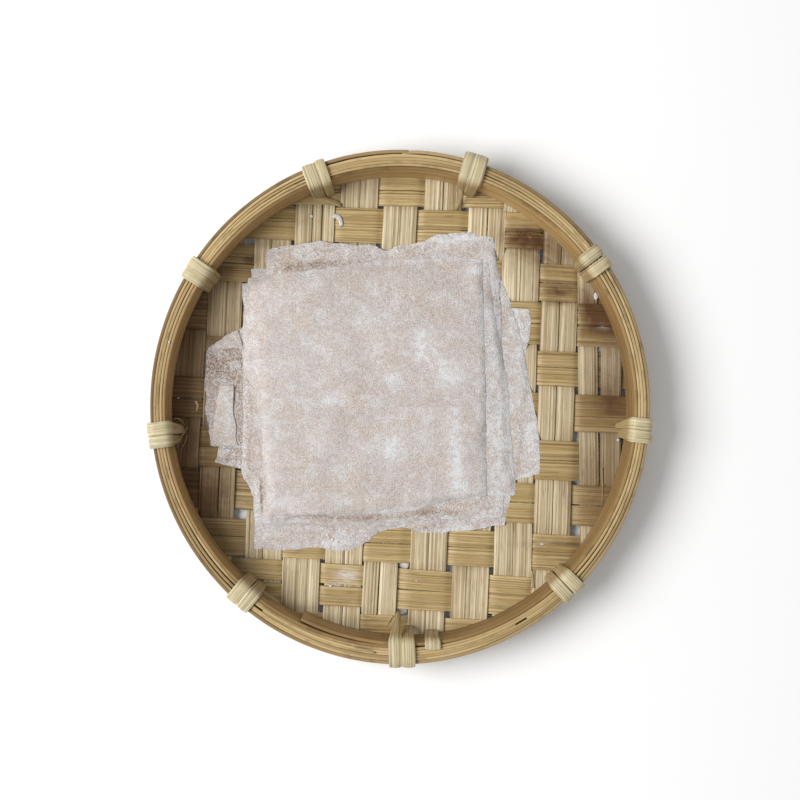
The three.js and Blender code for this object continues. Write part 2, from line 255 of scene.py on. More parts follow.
# Layers of bamboo's grain, with their waves along and across the strip
STREAKS = ((0.006, 0.5, 1.0), 3.0, 0.6, 0.38, 0.62)
CLOUDS = ((0.035, 0.11, 1.0), 2.0, 0.5, 0.3, 0.72)
FINE_LINES = ((0.006, 1.35, 1.0), 1.0, 0.5, 0.42, 0.58)
DARK_FIBRES = ((0.008, 1.0, 1.0), 2.0, 0.6, 0.52, 0.59)
DARK_FLECKS = ((0.14, 2.0, 1.0), 2.0, 0.6, 0.54, 0.68)
CAUGHT_FLOUR = ((0.3, 1.6, 1.0), 3.0, 0.65, 0.32, 0.58)
PALE_LAYERS = [(0.26, STREAKS), (0.28, CLOUDS), (0.46, FINE_LINES)]  # what makes it paler
FIBRE_SHADE = paint(122, 98, 76)  # what a fibre or fleck makes of the colour round it
FIBRE_STRENGTH = 0.40
FLECK_STRENGTH = 0.34
STAIN_AND_SHADE_DEEP = paint(30, 20, 12)  # what darkens a stain and painted shade between the streaks
STAIN_AND_SHADE_DEPTH = 0.3  # and how far
FLOUR_ON_BAMBOO = paint(218, 210, 204)
BAMBOO_SPECULAR = 0.3
SMOOTHER, ROUGHER = 0.06, 0.14  # how much less rough it is between fibres, and rougher on them
GRAIN_DEPTH = 0.06
FIBRE_HEIGHT = -0.7  # against that depth


def split_bamboo(name, pale, deep, stain, roughness=0.5):
    """Bamboo with streaks and fine dark fibres that run along each strip, and brown stains. Painted
    shade is laid on in the same brown wherever a piece's mesh asks for it.
    """
    finish = Finish(name, roughness, BAMBOO_SPECULAR)
    grain = finish.surface_value("grain", "Vector")
    fibres = finish.patches(grain, DARK_FIBRES)
    paleness = finish.weighed(grain, PALE_LAYERS)
    colour = finish.blend(paleness, deep, pale)
    stain_and_shade_colour = finish.blend(paleness, finish.blend(STAIN_AND_SHADE_DEPTH, stain, STAIN_AND_SHADE_DEEP), stain)
    # The mesh's stain value also carries painted shade, so this brown is painted shade as well as
    # stain.
    colour = finish.blend(finish.surface_value("stain"), colour, stain_and_shade_colour)
    flecks = finish.patches(grain, DARK_FLECKS)
    for dark, strength in ((fibres, FIBRE_STRENGTH), (flecks, FLECK_STRENGTH)):
        colour = finish.blend(finish.times(dark, strength), colour, FIBRE_SHADE, "MULTIPLY")
    dust = finish.times(finish.surface_value("dusting"), finish.patches(grain, CAUGHT_FLOUR))
    finish.feed("Base Color", finish.blend(dust, colour, FLOUR_ON_BAMBOO))
    finish.feed("Roughness", finish.add("MapRange", {
        "Value": fibres, "To Min": roughness - SMOOTHER, "To Max": roughness + ROUGHER}).outputs[0])
    finish.relief(finish.plus(paleness, finish.times(fibres, FIBRE_HEIGHT)), GRAIN_DEPTH)
    return finish.material


upright_bamboo = split_bamboo(
    "upright_bamboo", paint(240, 225, 190), paint(156, 134, 96), paint(114, 84, 48))
crosswise_bamboo = split_bamboo(
    "crosswise_bamboo", paint(205, 182, 132), paint(152, 125, 77), paint(98, 66, 33))

# Brown stains on the mat, and flour smeared on it: middle, half-size, strength
MAT_STAINS = [
    ((46, 64), (8.5, 4.6), 0.75), ((60, 43.8), (6, 1.8), 0.9), ((60, 39.6), (6, 1.4), 0.6),
    ((75, 34), (6, 5.0), 0.75), ((70, 40), (3, 5), 0.4), ((79, 29.5), (8, 1.4), 0.6),
    ((-68, -31), (8, 10), 0.35), ((78, 4), (7, 9), 0.3), ((72, -30), (9, 14), 0.2),
    ((55, 59), (12, 8), 0.65), ((-56.5, 55.5), (3.2, 2.6), 0.7), ((-63, 64), (3, 2), 0.3),
    ((26, -59.5), (9, 2.4), 0.2), ((-50, 61), (7, 1.0), 0.25), ((60, -52), (13, 0.9), 0.5),
    ((-46, 70), (14, 0.7), 0.35)]
MAT_DUSTING = [
    ((-19.7, -63.6), (4.2, 2.1), 0.8), ((-24, -67.3), (2.6, 0.8), 0.35),
    ((53.7, -51.9), (2.4, 0.6), 0.5), ((-58, -60), (3.4, 6), 0.10), ((79, 17), (5, 8), 0.12),
    ((76.5, 30.2), (1.6, 0.4), 0.6), ((-21, -65.5), (5, 3), 0.15)]
# How brown the strips are at places from the tray's left side to its right. Towards the left this is
# painted shadow of the rim; towards the right, painted shade near the rim on bamboo that is browner
# there too
BROWN_AND_SHADE_PLACES = (-80, -56, -48, 40, 62, 80)
BROWN_AND_SHADE_SHARES = (0.95, 0.25, 0, 0, 0.16, 0.62)
BROWN_AND_SHADE_VARIES = (0.35, 0.06, 0.05)
MARK_VARIES = (0.5, 0.5, 0.9)


def marks(table, x, y, seed):
    """How strongly the soft marks in a table show at a place, broken up a little."""
    broken = 1 + wobble(seed, MARK_VARIES, x, y)
    return broken * sum(power * spot(x, y, middle, size) for middle, size, power in table)


def browned_and_shaded(x, y, seed):
    """How brown a strip is in its stains, and how dark painted shade makes it towards the tray's left
    and right sides: the rim's shadow at the left, and shade near the rim on browner bamboo at the
    right.
    """
    side = float(np.interp(x, BROWN_AND_SHADE_PLACES, BROWN_AND_SHADE_SHARES))
    return min(1.0, side * (1 + wobble(seed, BROWN_AND_SHADE_VARIES, x, y)) + marks(MAT_STAINS, x, y, seed))


def level_across(crossed, overs, lean_sign, place, along):
    """From -1, under, to 1, over, at a place across the pairs that a strip crosses."""
    knots, values = [], []
    for (first, second), over in zip(crossed, overs):
        knots += [first[0] + lean_sign * first[2] * along + RAMP_START,
                  second[1] + lean_sign * second[2] * along - RAMP_START]
        values += [1 if over else -1] * 2
    share = (float(np.interp(place, knots, values)) + 1) / 2
    return 2 * share * share * (3 - 2 * share) - 1


STRIP_ROWS = 4  # cells across a strip
STRIP_CELL = 1.2  # and how long each is
END_STEP = 0.25  # steps in which a strip's end is looked for
STRIP_CROWN = 0.07  # how much higher its middle is than its edges
STRIP_SWELL = 0.06  # how far its face swells
WIDTH_VARIES = (0.016, 0.035, 1.0)
WIDTH_NOISE_ROW = 9  # keeps this noise apart from the next
STRIP_WANDERS = (0.10, 0.02, 1.0)
EDGE_SPLINTERS = (0.03, 0.4, 1.0)
FACE_SWELLS = (1.0, 0.05, 1.0)
STRIP_GRAIN_STEP = 13.7  # how far one strip's grain lies from the next one's
CRACK_START = 20.0  # how far back of the tray's middle a crack starts to open


def add_strip(bm, upright, pair, strip, seed, crack=0.0):
    """Adds one strip. A crack moves it aside more and more to the back."""
    crossed = CROSSWISE_STRIPS if upright else UPRIGHT_STRIPS
    overs = [(pair + other) % 2 == (0 if upright else 1) for other in range(len(crossed))]
    low, high, lean = strip
    middle = (low + high) / 2
    width = high - low

    def flat_place(along, aside):
        """Where a point of the strip lies on the mat, seen from above."""
        if upright:
            return middle + lean * along + aside, along
        return along, middle - lean * along + aside

    def end_of(v, step):
        """Where a line along the strip meets the mat's oval."""
        along = 0.0
        while sum((p / h) ** 2 for p, h in zip(flat_place(along, (v - 0.5) * width), MAT_OVAL)) < 1:
            along += step
        return along

    ends = [(end_of(row / STRIP_ROWS, -END_STEP), end_of(row / STRIP_ROWS, END_STEP))
            for row in range(STRIP_ROWS + 1)]

    def spread(u, v):
        """How far a point of the strip lies along it, and aside of its middle line."""
        start, end = ends[round(v * STRIP_ROWS)]
        along = start + (end - start) * u
        half = width / 2 * (1 + wobble(seed, WIDTH_VARIES, along, WIDTH_NOISE_ROW))
        aside = (2 * v - 1) * half + wobble(seed, STRIP_WANDERS, along)
        aside += wobble(seed + 3, EDGE_SPLINTERS, along, round(v))
        return along, aside + crack * max(0.0, along - CRACK_START)

    def place(u, v):
        along, aside = spread(u, v)
        x, y = flat_place(along, aside)
        level = level_across(crossed, overs, *((-1, y, x) if upright else (1, x, y)))
        crown = STRIP_CROWN * (1 - (2 * v - 1) ** 2)
        crown += STRIP_SWELL * (1 + wobble(seed + 5, FACE_SWELLS, along, v))
        return on_tray(x, y, MAT_MIDDLE + float(mat_rise(x, y)) + LEVEL_STEP * level + crown)

    longest = max(end - start for start, end in ends)
    add_grid(
        bm, round(longest / STRIP_CELL), STRIP_ROWS, place,
        grain=lambda u, v: (*spread(u, v), seed * STRIP_GRAIN_STEP),
        stain=lambda u, v: browned_and_shaded(*flat_place(*spread(u, v)), seed),
        dusting=lambda u, v: min(1.0, marks(MAT_DUSTING, *flat_place(*spread(u, v)), seed + 1)))


SPLIT_PAIR = 3  # the right strip of this upright pair has split lengthwise towards the back
SPLIT_AT = -32.5
SPLIT_GAP = 0.05
SPLIT_OPENS = 0.006  # for each step further back
for upright, pairs in ((True, UPRIGHT_STRIPS), (False, CROSSWISE_STRIPS)):
    side = "upright" if upright else "crosswise"
    for number, (first, second) in enumerate(pairs):
        bm = bmesh.new()
        seed = 11 * number + (0 if upright else 200)
        add_strip(bm, upright, number, first, seed + 1)
        if upright and number == SPLIT_PAIR:
            low, high, lean = second
            add_strip(bm, upright, number, (low, SPLIT_AT, lean), seed + 2)
            add_strip(bm, upright, number, (SPLIT_AT + SPLIT_GAP, high, lean), seed + 3, SPLIT_OPENS)
        else:
            add_strip(bm, upright, number, second, seed + 2)
        make_piece(f"strips_{side}_{number + 1}", bm, upright_bamboo if upright else crosswise_bamboo,
                   [f"mat_{side}_{number + 1}"], STRIP_THICKNESS, STRIP_ROUNDING)

# ---------------------------------------------------------------------------------------
# Hoops. Two flat bamboo bands bent round the mat's edge, one inside it and one outside. The
# inner band leans out as it rises, and its end is cut square and lies over its own start.

# The outer hoop's oval is its outside, and the inner one's its inside. Ends are in degrees.
OUTER_HOOP = {"oval": (92.4, 95.1), "bottom": 2.3, "top": 19.6, "thickness": 1.3,
              "ends": (88, 449.5), "rounding": 0.3}
INNER_HOOP = {"oval": (86.7, 87.8), "bottom": 5.3, "top": 20.0, "thickness": 1.2,
              "ends": (245, 629), "rounding": 0.25}
# How far a hoop's ends stand off its oval, at angles in degrees
INNER_FREE_END = ((245, 262, 284), (-1.75, -1.2, 0))
INNER_LAPPED_END = ((588, 604), (0, 0.2))
OUTER_SLIPPED_END = ((447, 449), (0, 0.6))
INNER_LEAN = (1.1, 0.4)  # how far the inner hoop leans out, and how much more at the right
OUTER_LEAN = 0.7  # how far the outer hoop leans in at the right

BAND_STEP = 2.0  # of a band's cells, in degrees
BAND_ROWS = 6
BAND_LEAST_COLUMNS = 3
BAND_WANDERS = (0.10, 30, 1)
BAND_TOP_VARIES = (0.18, 12, 1)
BAND_REACH = 90.0  # about how far out the bands lie, which gives the length of their grain
BAND_GRAIN_STEP = 9.1

hoop_bamboo = split_bamboo(
    "hoop_bamboo", paint(212, 180, 124), paint(154, 118, 68), paint(116, 86, 48))
rim_bamboo = split_bamboo(
    "rim_bamboo", paint(194, 171, 126), paint(144, 119, 78), paint(100, 72, 42))


def add_band(bm, ends, inner_face, bottom, top, thickness, seed, shade_and_brown_face=lambda angle, v: 0.0):
    """Adds a band bent round the tray. inner_face(angle, height share) is its distance out, and the
    last function, also of angle and height share, how much darker the band is made by painted shade and
    by browning."""
    start, end = ends

    def angle_at(u):
        return math.radians(start + (end - start) * u)

    def place(u, v):
        angle = angle_at(u)
        out = inner_face(angle, v) + thickness / 2 + wobble(seed, BAND_WANDERS, u, v)
        z = bottom + (top - bottom) * v
        if v > 0.5:
            z += wobble(seed + 2, BAND_TOP_VARIES, u)
        return on_tray(out * math.cos(angle), out * math.sin(angle), z)

    add_grid(
        bm, max(BAND_LEAST_COLUMNS, round((end - start) / BAND_STEP)), BAND_ROWS, place,
        grain=lambda u, v: (math.radians(end - start) * u * BAND_REACH, (top - bottom) * v,
                            seed * BAND_GRAIN_STEP),
        stain=lambda u, v: shade_and_brown_face(angle_at(u), v), dusting=lambda u, v: 0.0)


def oval(half_widths, angle):
    """Distance from the tray's middle to an oval, in a direction."""
    return 1 / math.hypot(math.cos(angle) / half_widths[0], math.sin(angle) / half_widths[1])


def inner_hoop_face(angle, height):
    """The inner hoop's inner side. It stands in at its free end, and lies back behind it."""
    degrees = math.degrees(angle)
    overlap = float(np.interp(degrees, *INNER_FREE_END) + np.interp(degrees, *INNER_LAPPED_END))
    lean = INNER_LEAN[0] + INNER_LEAN[1] * math.cos(angle)
    return oval(INNER_HOOP["oval"], angle) - lean * (1 - height) + overlap


def outer_hoop_face(angle, height):
    """The outer hoop's inner side. Its last few degrees slip in behind its start."""
    slipped = float(np.interp(math.degrees(angle), *OUTER_SLIPPED_END))
    leaning = OUTER_LEAN * max(0.0, math.cos(angle)) * (1 - height)
    return oval(OUTER_HOOP["oval"], angle) - OUTER_HOOP["thickness"] - slipped + leaning


SHADE_LEFT = 0.85  # how much painted shade darkens the outer hoop there
SHADE_FRONT_RIGHT = 0.6  # and painted shade on the inner hoop, darkest at an angle from straight right
SHADE_ANGLE = math.radians(35)
SHADE_WIDENED = 1.5
BROWN_TOP = 0.5
BROWN_TOP_STARTS = 0.9  # share of its height


def shaded_outer_hoop(angle, height):
    """Painted shade darkens the outer hoop at the left, all the way up."""
    return SHADE_LEFT * max(0.0, -math.cos(angle))


def shaded_and_browned_inner_hoop(angle, height):
    """Painted shade darkens the inner hoop at the front and right, and it is browner along its top."""
    side = SHADE_FRONT_RIGHT * max(0.0, min(1.0, SHADE_WIDENED * math.cos(angle + SHADE_ANGLE)))
    return max(side, BROWN_TOP if height > BROWN_TOP_STARTS else 0.0)


for side, hoop, face, shade_and_brown_face, bamboo, seed in (
        ("inner", INNER_HOOP, inner_hoop_face, shaded_and_browned_inner_hoop, hoop_bamboo, 301),
        ("outer", OUTER_HOOP, outer_hoop_face, shaded_outer_hoop, rim_bamboo, 302)):
    bm = bmesh.new()
    add_band(bm, hoop["ends"], face, hoop["bottom"], hoop["top"], hoop["thickness"], seed, shade_and_brown_face)
    make_piece(f"{side}_hoop_band", bm, bamboo, [f"hoop_{side}"], hoop["thickness"],
               hoop["rounding"])

# ---------------------------------------------------------------------------------------
# Splints. Thin bamboo strips packed on edge between the hoops to fill the rim. They lie closer
# at the left and right, where the rim is narrower, and some end early and leave dark gaps.

SPLINT_BOTTOM = 12.0
SPLINT_ROUNDING = 0.2
SPLINT_CLEARANCE = 0.04
splint_bamboo = split_bamboo(
    "splint_bamboo", paint(208, 184, 136), paint(158, 130, 84), paint(92, 62, 36))

# Name, first and last angle, share of the way out at both, thickness, top, node it stands for.
# Most ends lie under lashings. The ones near 236 and 300 degrees leave gaps.
SPLINTS = [
    ("splint_inner_full", 110, 469, 0.0, 0.0, 0.95, 20.2, "splint_inner"),
    ("splint_outer_full", 110, 433, 1.0, 1.0, 0.95, 20.0, "splint_outer"),
    ("splint_left", 146, 230, 0.5, 0.5, 1.05, 20.3, None),
    ("splint_right", 313, 397, 0.5, 0.5, 1.05, 20.1, None),
    ("splint_back_1", 73, 110, 0.30, 0.27, 1.1, 20.3, "splint_filler_back"),
    ("splint_back_2", 73, 110, 0.62, 0.57, 1.1, 20.1, None),
    ("splint_back_3", 73, 110, 0.94, 0.86, 1.1, 20.3, None),
    ("splint_back_right_1", 36, 73, 0.34, 0.32, 0.95, 20.0, None),
    ("splint_back_right_2", 37, 73, 0.68, 0.68, 0.95, 20.2, None),
    ("splint_back_left_1", 110, 147, 0.32, 0.34, 0.95, 20.2, None),
    ("splint_back_left_2", 109, 146, 0.68, 0.67, 0.95, 19.9, None),
    ("splint_front_1", 230, 314, 0.26, 0.27, 0.9, 20.2, "splint_filler_front"),
    ("splint_front_2", 236, 298, 0.50, 0.50, 0.95, 19.8, None),
    ("splint_front_4", 301, 314, 0.50, 0.50, 0.95, 19.9, None),
    ("splint_front_3", 229, 313, 0.74, 0.74, 0.95, 20.3, None),
]
for number, (name, start, end, share_start, share_end, thickness, top, node) in enumerate(SPLINTS):

    def splint_face(angle, height):
        """The splint's inner side, upright between the hoops."""
        inside = oval(INNER_HOOP["oval"], angle) + INNER_HOOP["thickness"] + SPLINT_CLEARANCE
        outside = oval(OUTER_HOOP["oval"], angle) - OUTER_HOOP["thickness"] - SPLINT_CLEARANCE
        along = (math.degrees(angle) - start) / (end - start)
        share = share_start + (share_end - share_start) * along
        return inside + (outside - thickness - inside) * share

    bm = bmesh.new()
    add_band(bm, (start, end), splint_face, SPLINT_BOTTOM, top, thickness, 320 + number)
    make_piece(name, bm, splint_bamboo, [node] if node else [], thickness,
               SPLINT_ROUNDING)

# ---------------------------------------------------------------------------------------
# Lashings. Nine strips of pale cane, each wrapped twice round the rim and pushed through the
# mat's gaps inside it. Some ends are twisted, pointed or frayed.

CANE_THICKNESS = 0.7
CANE_ROUNDING = 0.18
CANE_ROUGHNESS = 0.45
OVER_RIM = 20.85  # heights of the cane's middle line
UNDER_HOOP = 1.6
UNDER_MAT = 1.0  # this far under the mat's middle surface
LASHING_TAIL = 83.0  # where the end under the tray stops
FRONT = math.radians(270)
NEAR_FRONT = 0.9  # the lashing nearest to straight front goes round the hoop's own free end
HOOP_END_INSET = 1.2  # and so this much further in
OFF_INNER_HOOP, OFF_OUTER_HOOP = 0.95, 0.75  # how far the cane's middle line is off their sides
INNER_SHOULDER, OUTER_SHOULDER = 1.6, 0.9  # how far under its top the cane starts to bend over
STRAIGHT_UP = 3  # how far it comes straight up out of the mat
LINE_POINTS = 90
LINE_PASSES = 6  # in which its corners are rounded
cane_bamboo = split_bamboo("cane", paint(218, 207, 174), paint(178, 162, 120),
                           paint(156, 122, 66), CANE_ROUGHNESS)

# For each turn of cane: its middle line aside of the lashing's angle outside the rim, on top of
# it and at the inner end, its half-width at the top and at the inner end, how far it stands off,
# and how far out it meets the mat inside the rim
LASHINGS = [
    (109.7, [(1.9, 1.9, 1.5, 2.6, 2.2, 0.0, 84.8), (-2.5, -2.4, -2.3, 1.8, 1.5, 0.3, 84.4)]),
    (72.9, [(2.0, 1.9, 1.6, 2.5, 2.0, 0.2, 84.6), (-1.9, -1.7, -1.2, 2.6, 1.9, 0.3, 84.2)]),
    (36.8, [(2.6, 2.5, 2.1, 2.3, 1.9, 0.0, 84.8), (-2.6, -2.6, -2.4, 2.3, 2.0, 0.0, 84.8)]),
    (-5.5, [(2.4, 2.3, 0.7, 2.2, 0.6, 0.0, 82.4), (-2.5, -2.3, -1.5, 2.3, 1.6, 0.15, 83.6)]),
    (-47.0, [(2.8, 2.5, 2.0, 2.4, 1.6, 0.0, 84.8), (-2.4, -2.5, -2.2, 2.3, 1.7, 0.1, 84.8)]),
    (-89.5, [(2.5, 2.3, 2.4, 2.3, 1.6, 0.1, 84.4), (-2.4, -2.4, -1.1, 2.4, 0.3, 0.0, 79.0)]),
    (-129.6, [(2.5, 2.5, 2.3, 2.4, 1.9, 0.0, 84.8), (-2.6, -2.6, -2.2, 2.4, 2.0, 0.0, 84.8)]),
    (-173.4, [(2.9, 2.6, 2.2, 2.2, 1.2, 0.1, 84.2), (-2.2, -2.3, -0.9, 2.6, 1.0, 0.25, 82.6)]),
    (146.4, [(2.2, 2.0, 2.3, 2.3, 2.0, 0.0, 84.6), (-1.9, -2.0, -1.8, 2.4, 2.2, 0.3, 84.2)]),
]
SHORT_TURN_ON = 6  # this lashing also has a short turn that ends between the hoops
SHORT_TURN = (11.4, 11.4, 11.2, 2.8, 2.5, 0.0, 86.0)
SHORT_TURN_END = 0.36  # share of a whole turn
STANDS_OUT = {2: 1.9}  # how far a lashing stands out past the rim where it isn't pulled tight


def evenly_along(corners, count, passes):
    """Points evenly spaced along a line whose corners are then rounded, and how far along it they
    were at first."""
    corners = np.array(corners, float)
    steps = np.concatenate([[0], np.cumsum(np.hypot(*np.diff(corners, axis=0).T))])
    samples = np.linspace(0, steps[-1], count)
    line = np.stack([np.interp(samples, steps, corners[:, k]) for k in (0, 1)], axis=1)
    for _ in range(passes):
        line[1:-1] = (line[:-2] + 2 * line[1:-1] + line[2:]) / 4
    return line, samples


def lashing_line(angle, reach, loose):
    """The line of a lashing as distances out and heights, and how far along it they are."""
    inside = oval(INNER_HOOP["oval"], angle)
    outside = oval(OUTER_HOOP["oval"], angle)
    inset = HOOP_END_INSET if math.cos(angle - FRONT) > NEAR_FRONT else 0.0
    under_mat = MAT_MIDDLE + float(mat_rise(reach, 0)) - UNDER_MAT
    return evenly_along([
        (reach - inset, under_mat),  # its end, pushed through the mat
        (reach - 0.1 - inset, under_mat + STRAIGHT_UP),
        (inside - OFF_INNER_HOOP - inset, OVER_RIM - INNER_SHOULDER),  # up the inner hoop's side
        (inside - 0.2 - inset, OVER_RIM - 0.1),  # round its edge
        (inside + 0.9, OVER_RIM),  # over the rim
        (outside - 0.4 + loose / 2, OVER_RIM),
        (outside + OFF_OUTER_HOOP + loose, OVER_RIM - OUTER_SHOULDER - loose),  # down outside
        (outside + OFF_OUTER_HOOP, UNDER_HOOP + 0.8),
        (outside - 0.2, UNDER_HOOP),  # in under it
        (LASHING_TAIL, UNDER_HOOP)], LINE_POINTS, LINE_PASSES)  # and on towards the mat


TURN_KNOTS = (0.0, 0.32, 0.55, 1.0)  # shares of its way: inner end, on the rim, past it, tail
TAIL_NARROWED = 0.95
CANE_CROWN = 0.32
STAND_OFF_WAVE = 1.3  # how fast it comes up to how far it stands off, and down again
CANE_WIDTH_VARIES = (0.06, 9, 1)
CANE_WANDERS = (0.25, 5, 1)
CANE_SWELLS = (0.12, 14, 1)
TURN_CELLS = (80, 6)
TURN_GRAIN_STEP = 5.7
CANE_INNER_SHADE = 0.6  # painted shade on the part that hangs inside the rim, where the cane is also a darker yellow
INNER_SHADE_STOPS = 0.33  # share of its way
INNER_SHADE_FADES = 0.06


def add_turn(bm, degrees, turn, seed, loose=0.0, last=1.0):
    """Adds one turn of cane, crowned across its width, up to a share of its whole way round."""
    outer_aside, top_aside, end_aside, half_width, end_half, proud, reach = turn
    angle = math.radians(degrees)
    line, samples = lashing_line(angle, reach, loose)
    out = Vector((math.cos(angle), math.sin(angle)))
    sideways = Vector((-out.y, out.x))
    asides = [end_aside, top_aside, (top_aside + outer_aside) / 2, outer_aside]
    halves = [end_half, half_width, half_width, half_width * TAIL_NARROWED]

    def place(u, v):
        u *= last
        spot_on_line = u * (len(line) - 1)
        index = min(int(spot_on_line), len(line) - 2)
        ahead = Vector(line[index + 1]) - Vector(line[index])
        point = Vector(line[index]) + ahead * (spot_on_line - index)
        outward = Vector((-ahead.y, ahead.x)).normalized()
        across = 2 * v - 1
        half = float(np.interp(u, TURN_KNOTS, halves)) * (1 + wobble(seed, CANE_WIDTH_VARIES, u))
        aside = float(np.interp(u, TURN_KNOTS, asides)) + wobble(seed + 1, CANE_WANDERS, u)
        aside += across * half
        crown = CANE_CROWN * (1 - across * across)
        crown += proud * math.sin(math.pi * min(1, u * STAND_OFF_WAVE))
        crown += wobble(seed + 2, CANE_SWELLS, u, v)
        distance, height = point + outward * crown
        flat = out * distance + sideways * aside
        return on_tray(flat.x, flat.y, height)

    # Painted shade on the part that hangs down inside the rim, on cane that is a darker yellow there
    # too.
    def stain(u, v):
        return CANE_INNER_SHADE * max(0.0, min(1.0, (INNER_SHADE_STOPS - u * last) / INNER_SHADE_FADES))

    add_grid(bm, *TURN_CELLS, place,
             grain=lambda u, v: (u * samples[-1], (2 * v - 1) * half_width, seed * TURN_GRAIN_STEP),
             stain=stain, dusting=lambda u, v: 0.0)


for number, (degrees, turns) in enumerate(LASHINGS):
    bm = bmesh.new()
    for order, turn in enumerate(turns):
        add_turn(bm, degrees, turn, 400 + 5 * number + 40 * order, STANDS_OUT.get(number + 1, 0.0))
    if number + 1 == SHORT_TURN_ON:
        add_turn(bm, degrees, SHORT_TURN, 497, last=SHORT_TURN_END)
    make_piece(f"cane_lashing_{number + 1}", bm, cane_bamboo, [f"lashing_{number + 1}"],
               CANE_THICKNESS, CANE_ROUNDING)

# ---------------------------------------------------------------------------------------
# Dough sheets. Ten square wrappers rolled and cut from thin dough and dusted with flour so
# that they don't stick. Each is a patch between four torn or cut sides, laid over what is
# under it, so that it bends softly down over the edges of the sheets below.

SHEET_THICKNESS = 0.34
SHEET_AIR = 0.04  # left by the flour between two sheets
SHEET_CELLS = 116
THIN_EDGE = 0.22  # share of its thickness that a sheet's rolled edge still has
EDGE_CELLS = 2.2  # how far in from the edge the sheet is full thick
SETTLED_CELLS = 3.5  # how far in it lies close down on what is under it

# Layers of flour, and their shares of all of it
DRIFTS = ((0.045, 0.045, 1), 5.0, 0.6, 0.38, 0.62)
PATCHES = ((0.16, 0.16, 1), 6.0, 0.72, 0.49, 0.58)
CLUMPS = ((0.62, 0.62, 1), 3.0, 0.65, 0.38, 0.62)
GRAINS = ((1.9, 1.9, 1), 2.0, 0.6, 0.38, 0.62)
FLOUR_LAYERS = [(0.12, DRIFTS), (0.20, PATCHES), (0.24, CLUMPS), (0.56, GRAINS)]
FLECKS = ((0.34, 0.34, 1), 6.0, 0.75, 0.46, 0.57)  # these break up the flour that the tables place
FLECK_SHARE, BETWEEN_FLECKS = 1.3, 0.45
NO_FLOUR, ALL_FLOUR = 0.07, 1.13  # sums of flour that show none of it, and it alone
FLOUR_COLOUR = paint(227, 224, 224)
WARM_PATCHES = ((0.075, 0.075, 1), 4.0, 0.6, 0.36, 0.66)
COOL_DOUGH = paint(180, 164, 156)
WARM_DOUGH = paint(185, 162, 145)
# Colour of damp dough, and of the painted shadows where the edges of sheets above shade the ones below
DAMP_AND_SHADED_DOUGH = paint(128, 98, 72)
DOUGH_ROUGHNESS = 0.75
DOUGH_SPECULAR = 0.15
DOUGH_LETS_LIGHT_IN = 0.25
LIGHT_REACH = (0.0018, 0.0012, 0.0009)  # in metres, of red, green and blue light
FLOUR_DEPTH = 0.09
CLUMP_HEIGHT = 0.8  # against a grain's


def dough_finish():
    """Thin dough, warm and slightly see-through, under patches and grains of white flour, with damp
    patches and painted shadows in a darker brown.
    """
    finish = Finish("floury_dough", DOUGH_ROUGHNESS, DOUGH_SPECULAR)
    place = finish.surface_value("spread", "Vector")
    broken = finish.plus(finish.times(finish.patches(place, FLECKS), FLECK_SHARE), BETWEEN_FLECKS)
    by_hand = finish.times(finish.surface_value("flour"), broken)
    flour = finish.share(finish.weighed(place, FLOUR_LAYERS, by_hand), NO_FLOUR, ALL_FLOUR)
    dough = finish.blend(finish.patches(place, WARM_PATCHES), COOL_DOUGH, WARM_DOUGH)
    dough = finish.blend(finish.surface_value("damp"), dough, DAMP_AND_SHADED_DOUGH)
    finish.feed("Base Color", finish.blend(flour, dough, FLOUR_COLOUR))
    finish.shader.inputs["Subsurface Weight"].default_value = DOUGH_LETS_LIGHT_IN
    finish.shader.inputs["Subsurface Radius"].default_value = LIGHT_REACH
    finish.shader.inputs["Subsurface Scale"].default_value = 1.0
    clumps = finish.times(finish.patches(place, CLUMPS), CLUMP_HEIGHT)
    finish.relief(finish.plus(finish.patches(place, GRAINS), clumps), FLOUR_DEPTH)
    return finish.material


floury_dough = dough_finish()

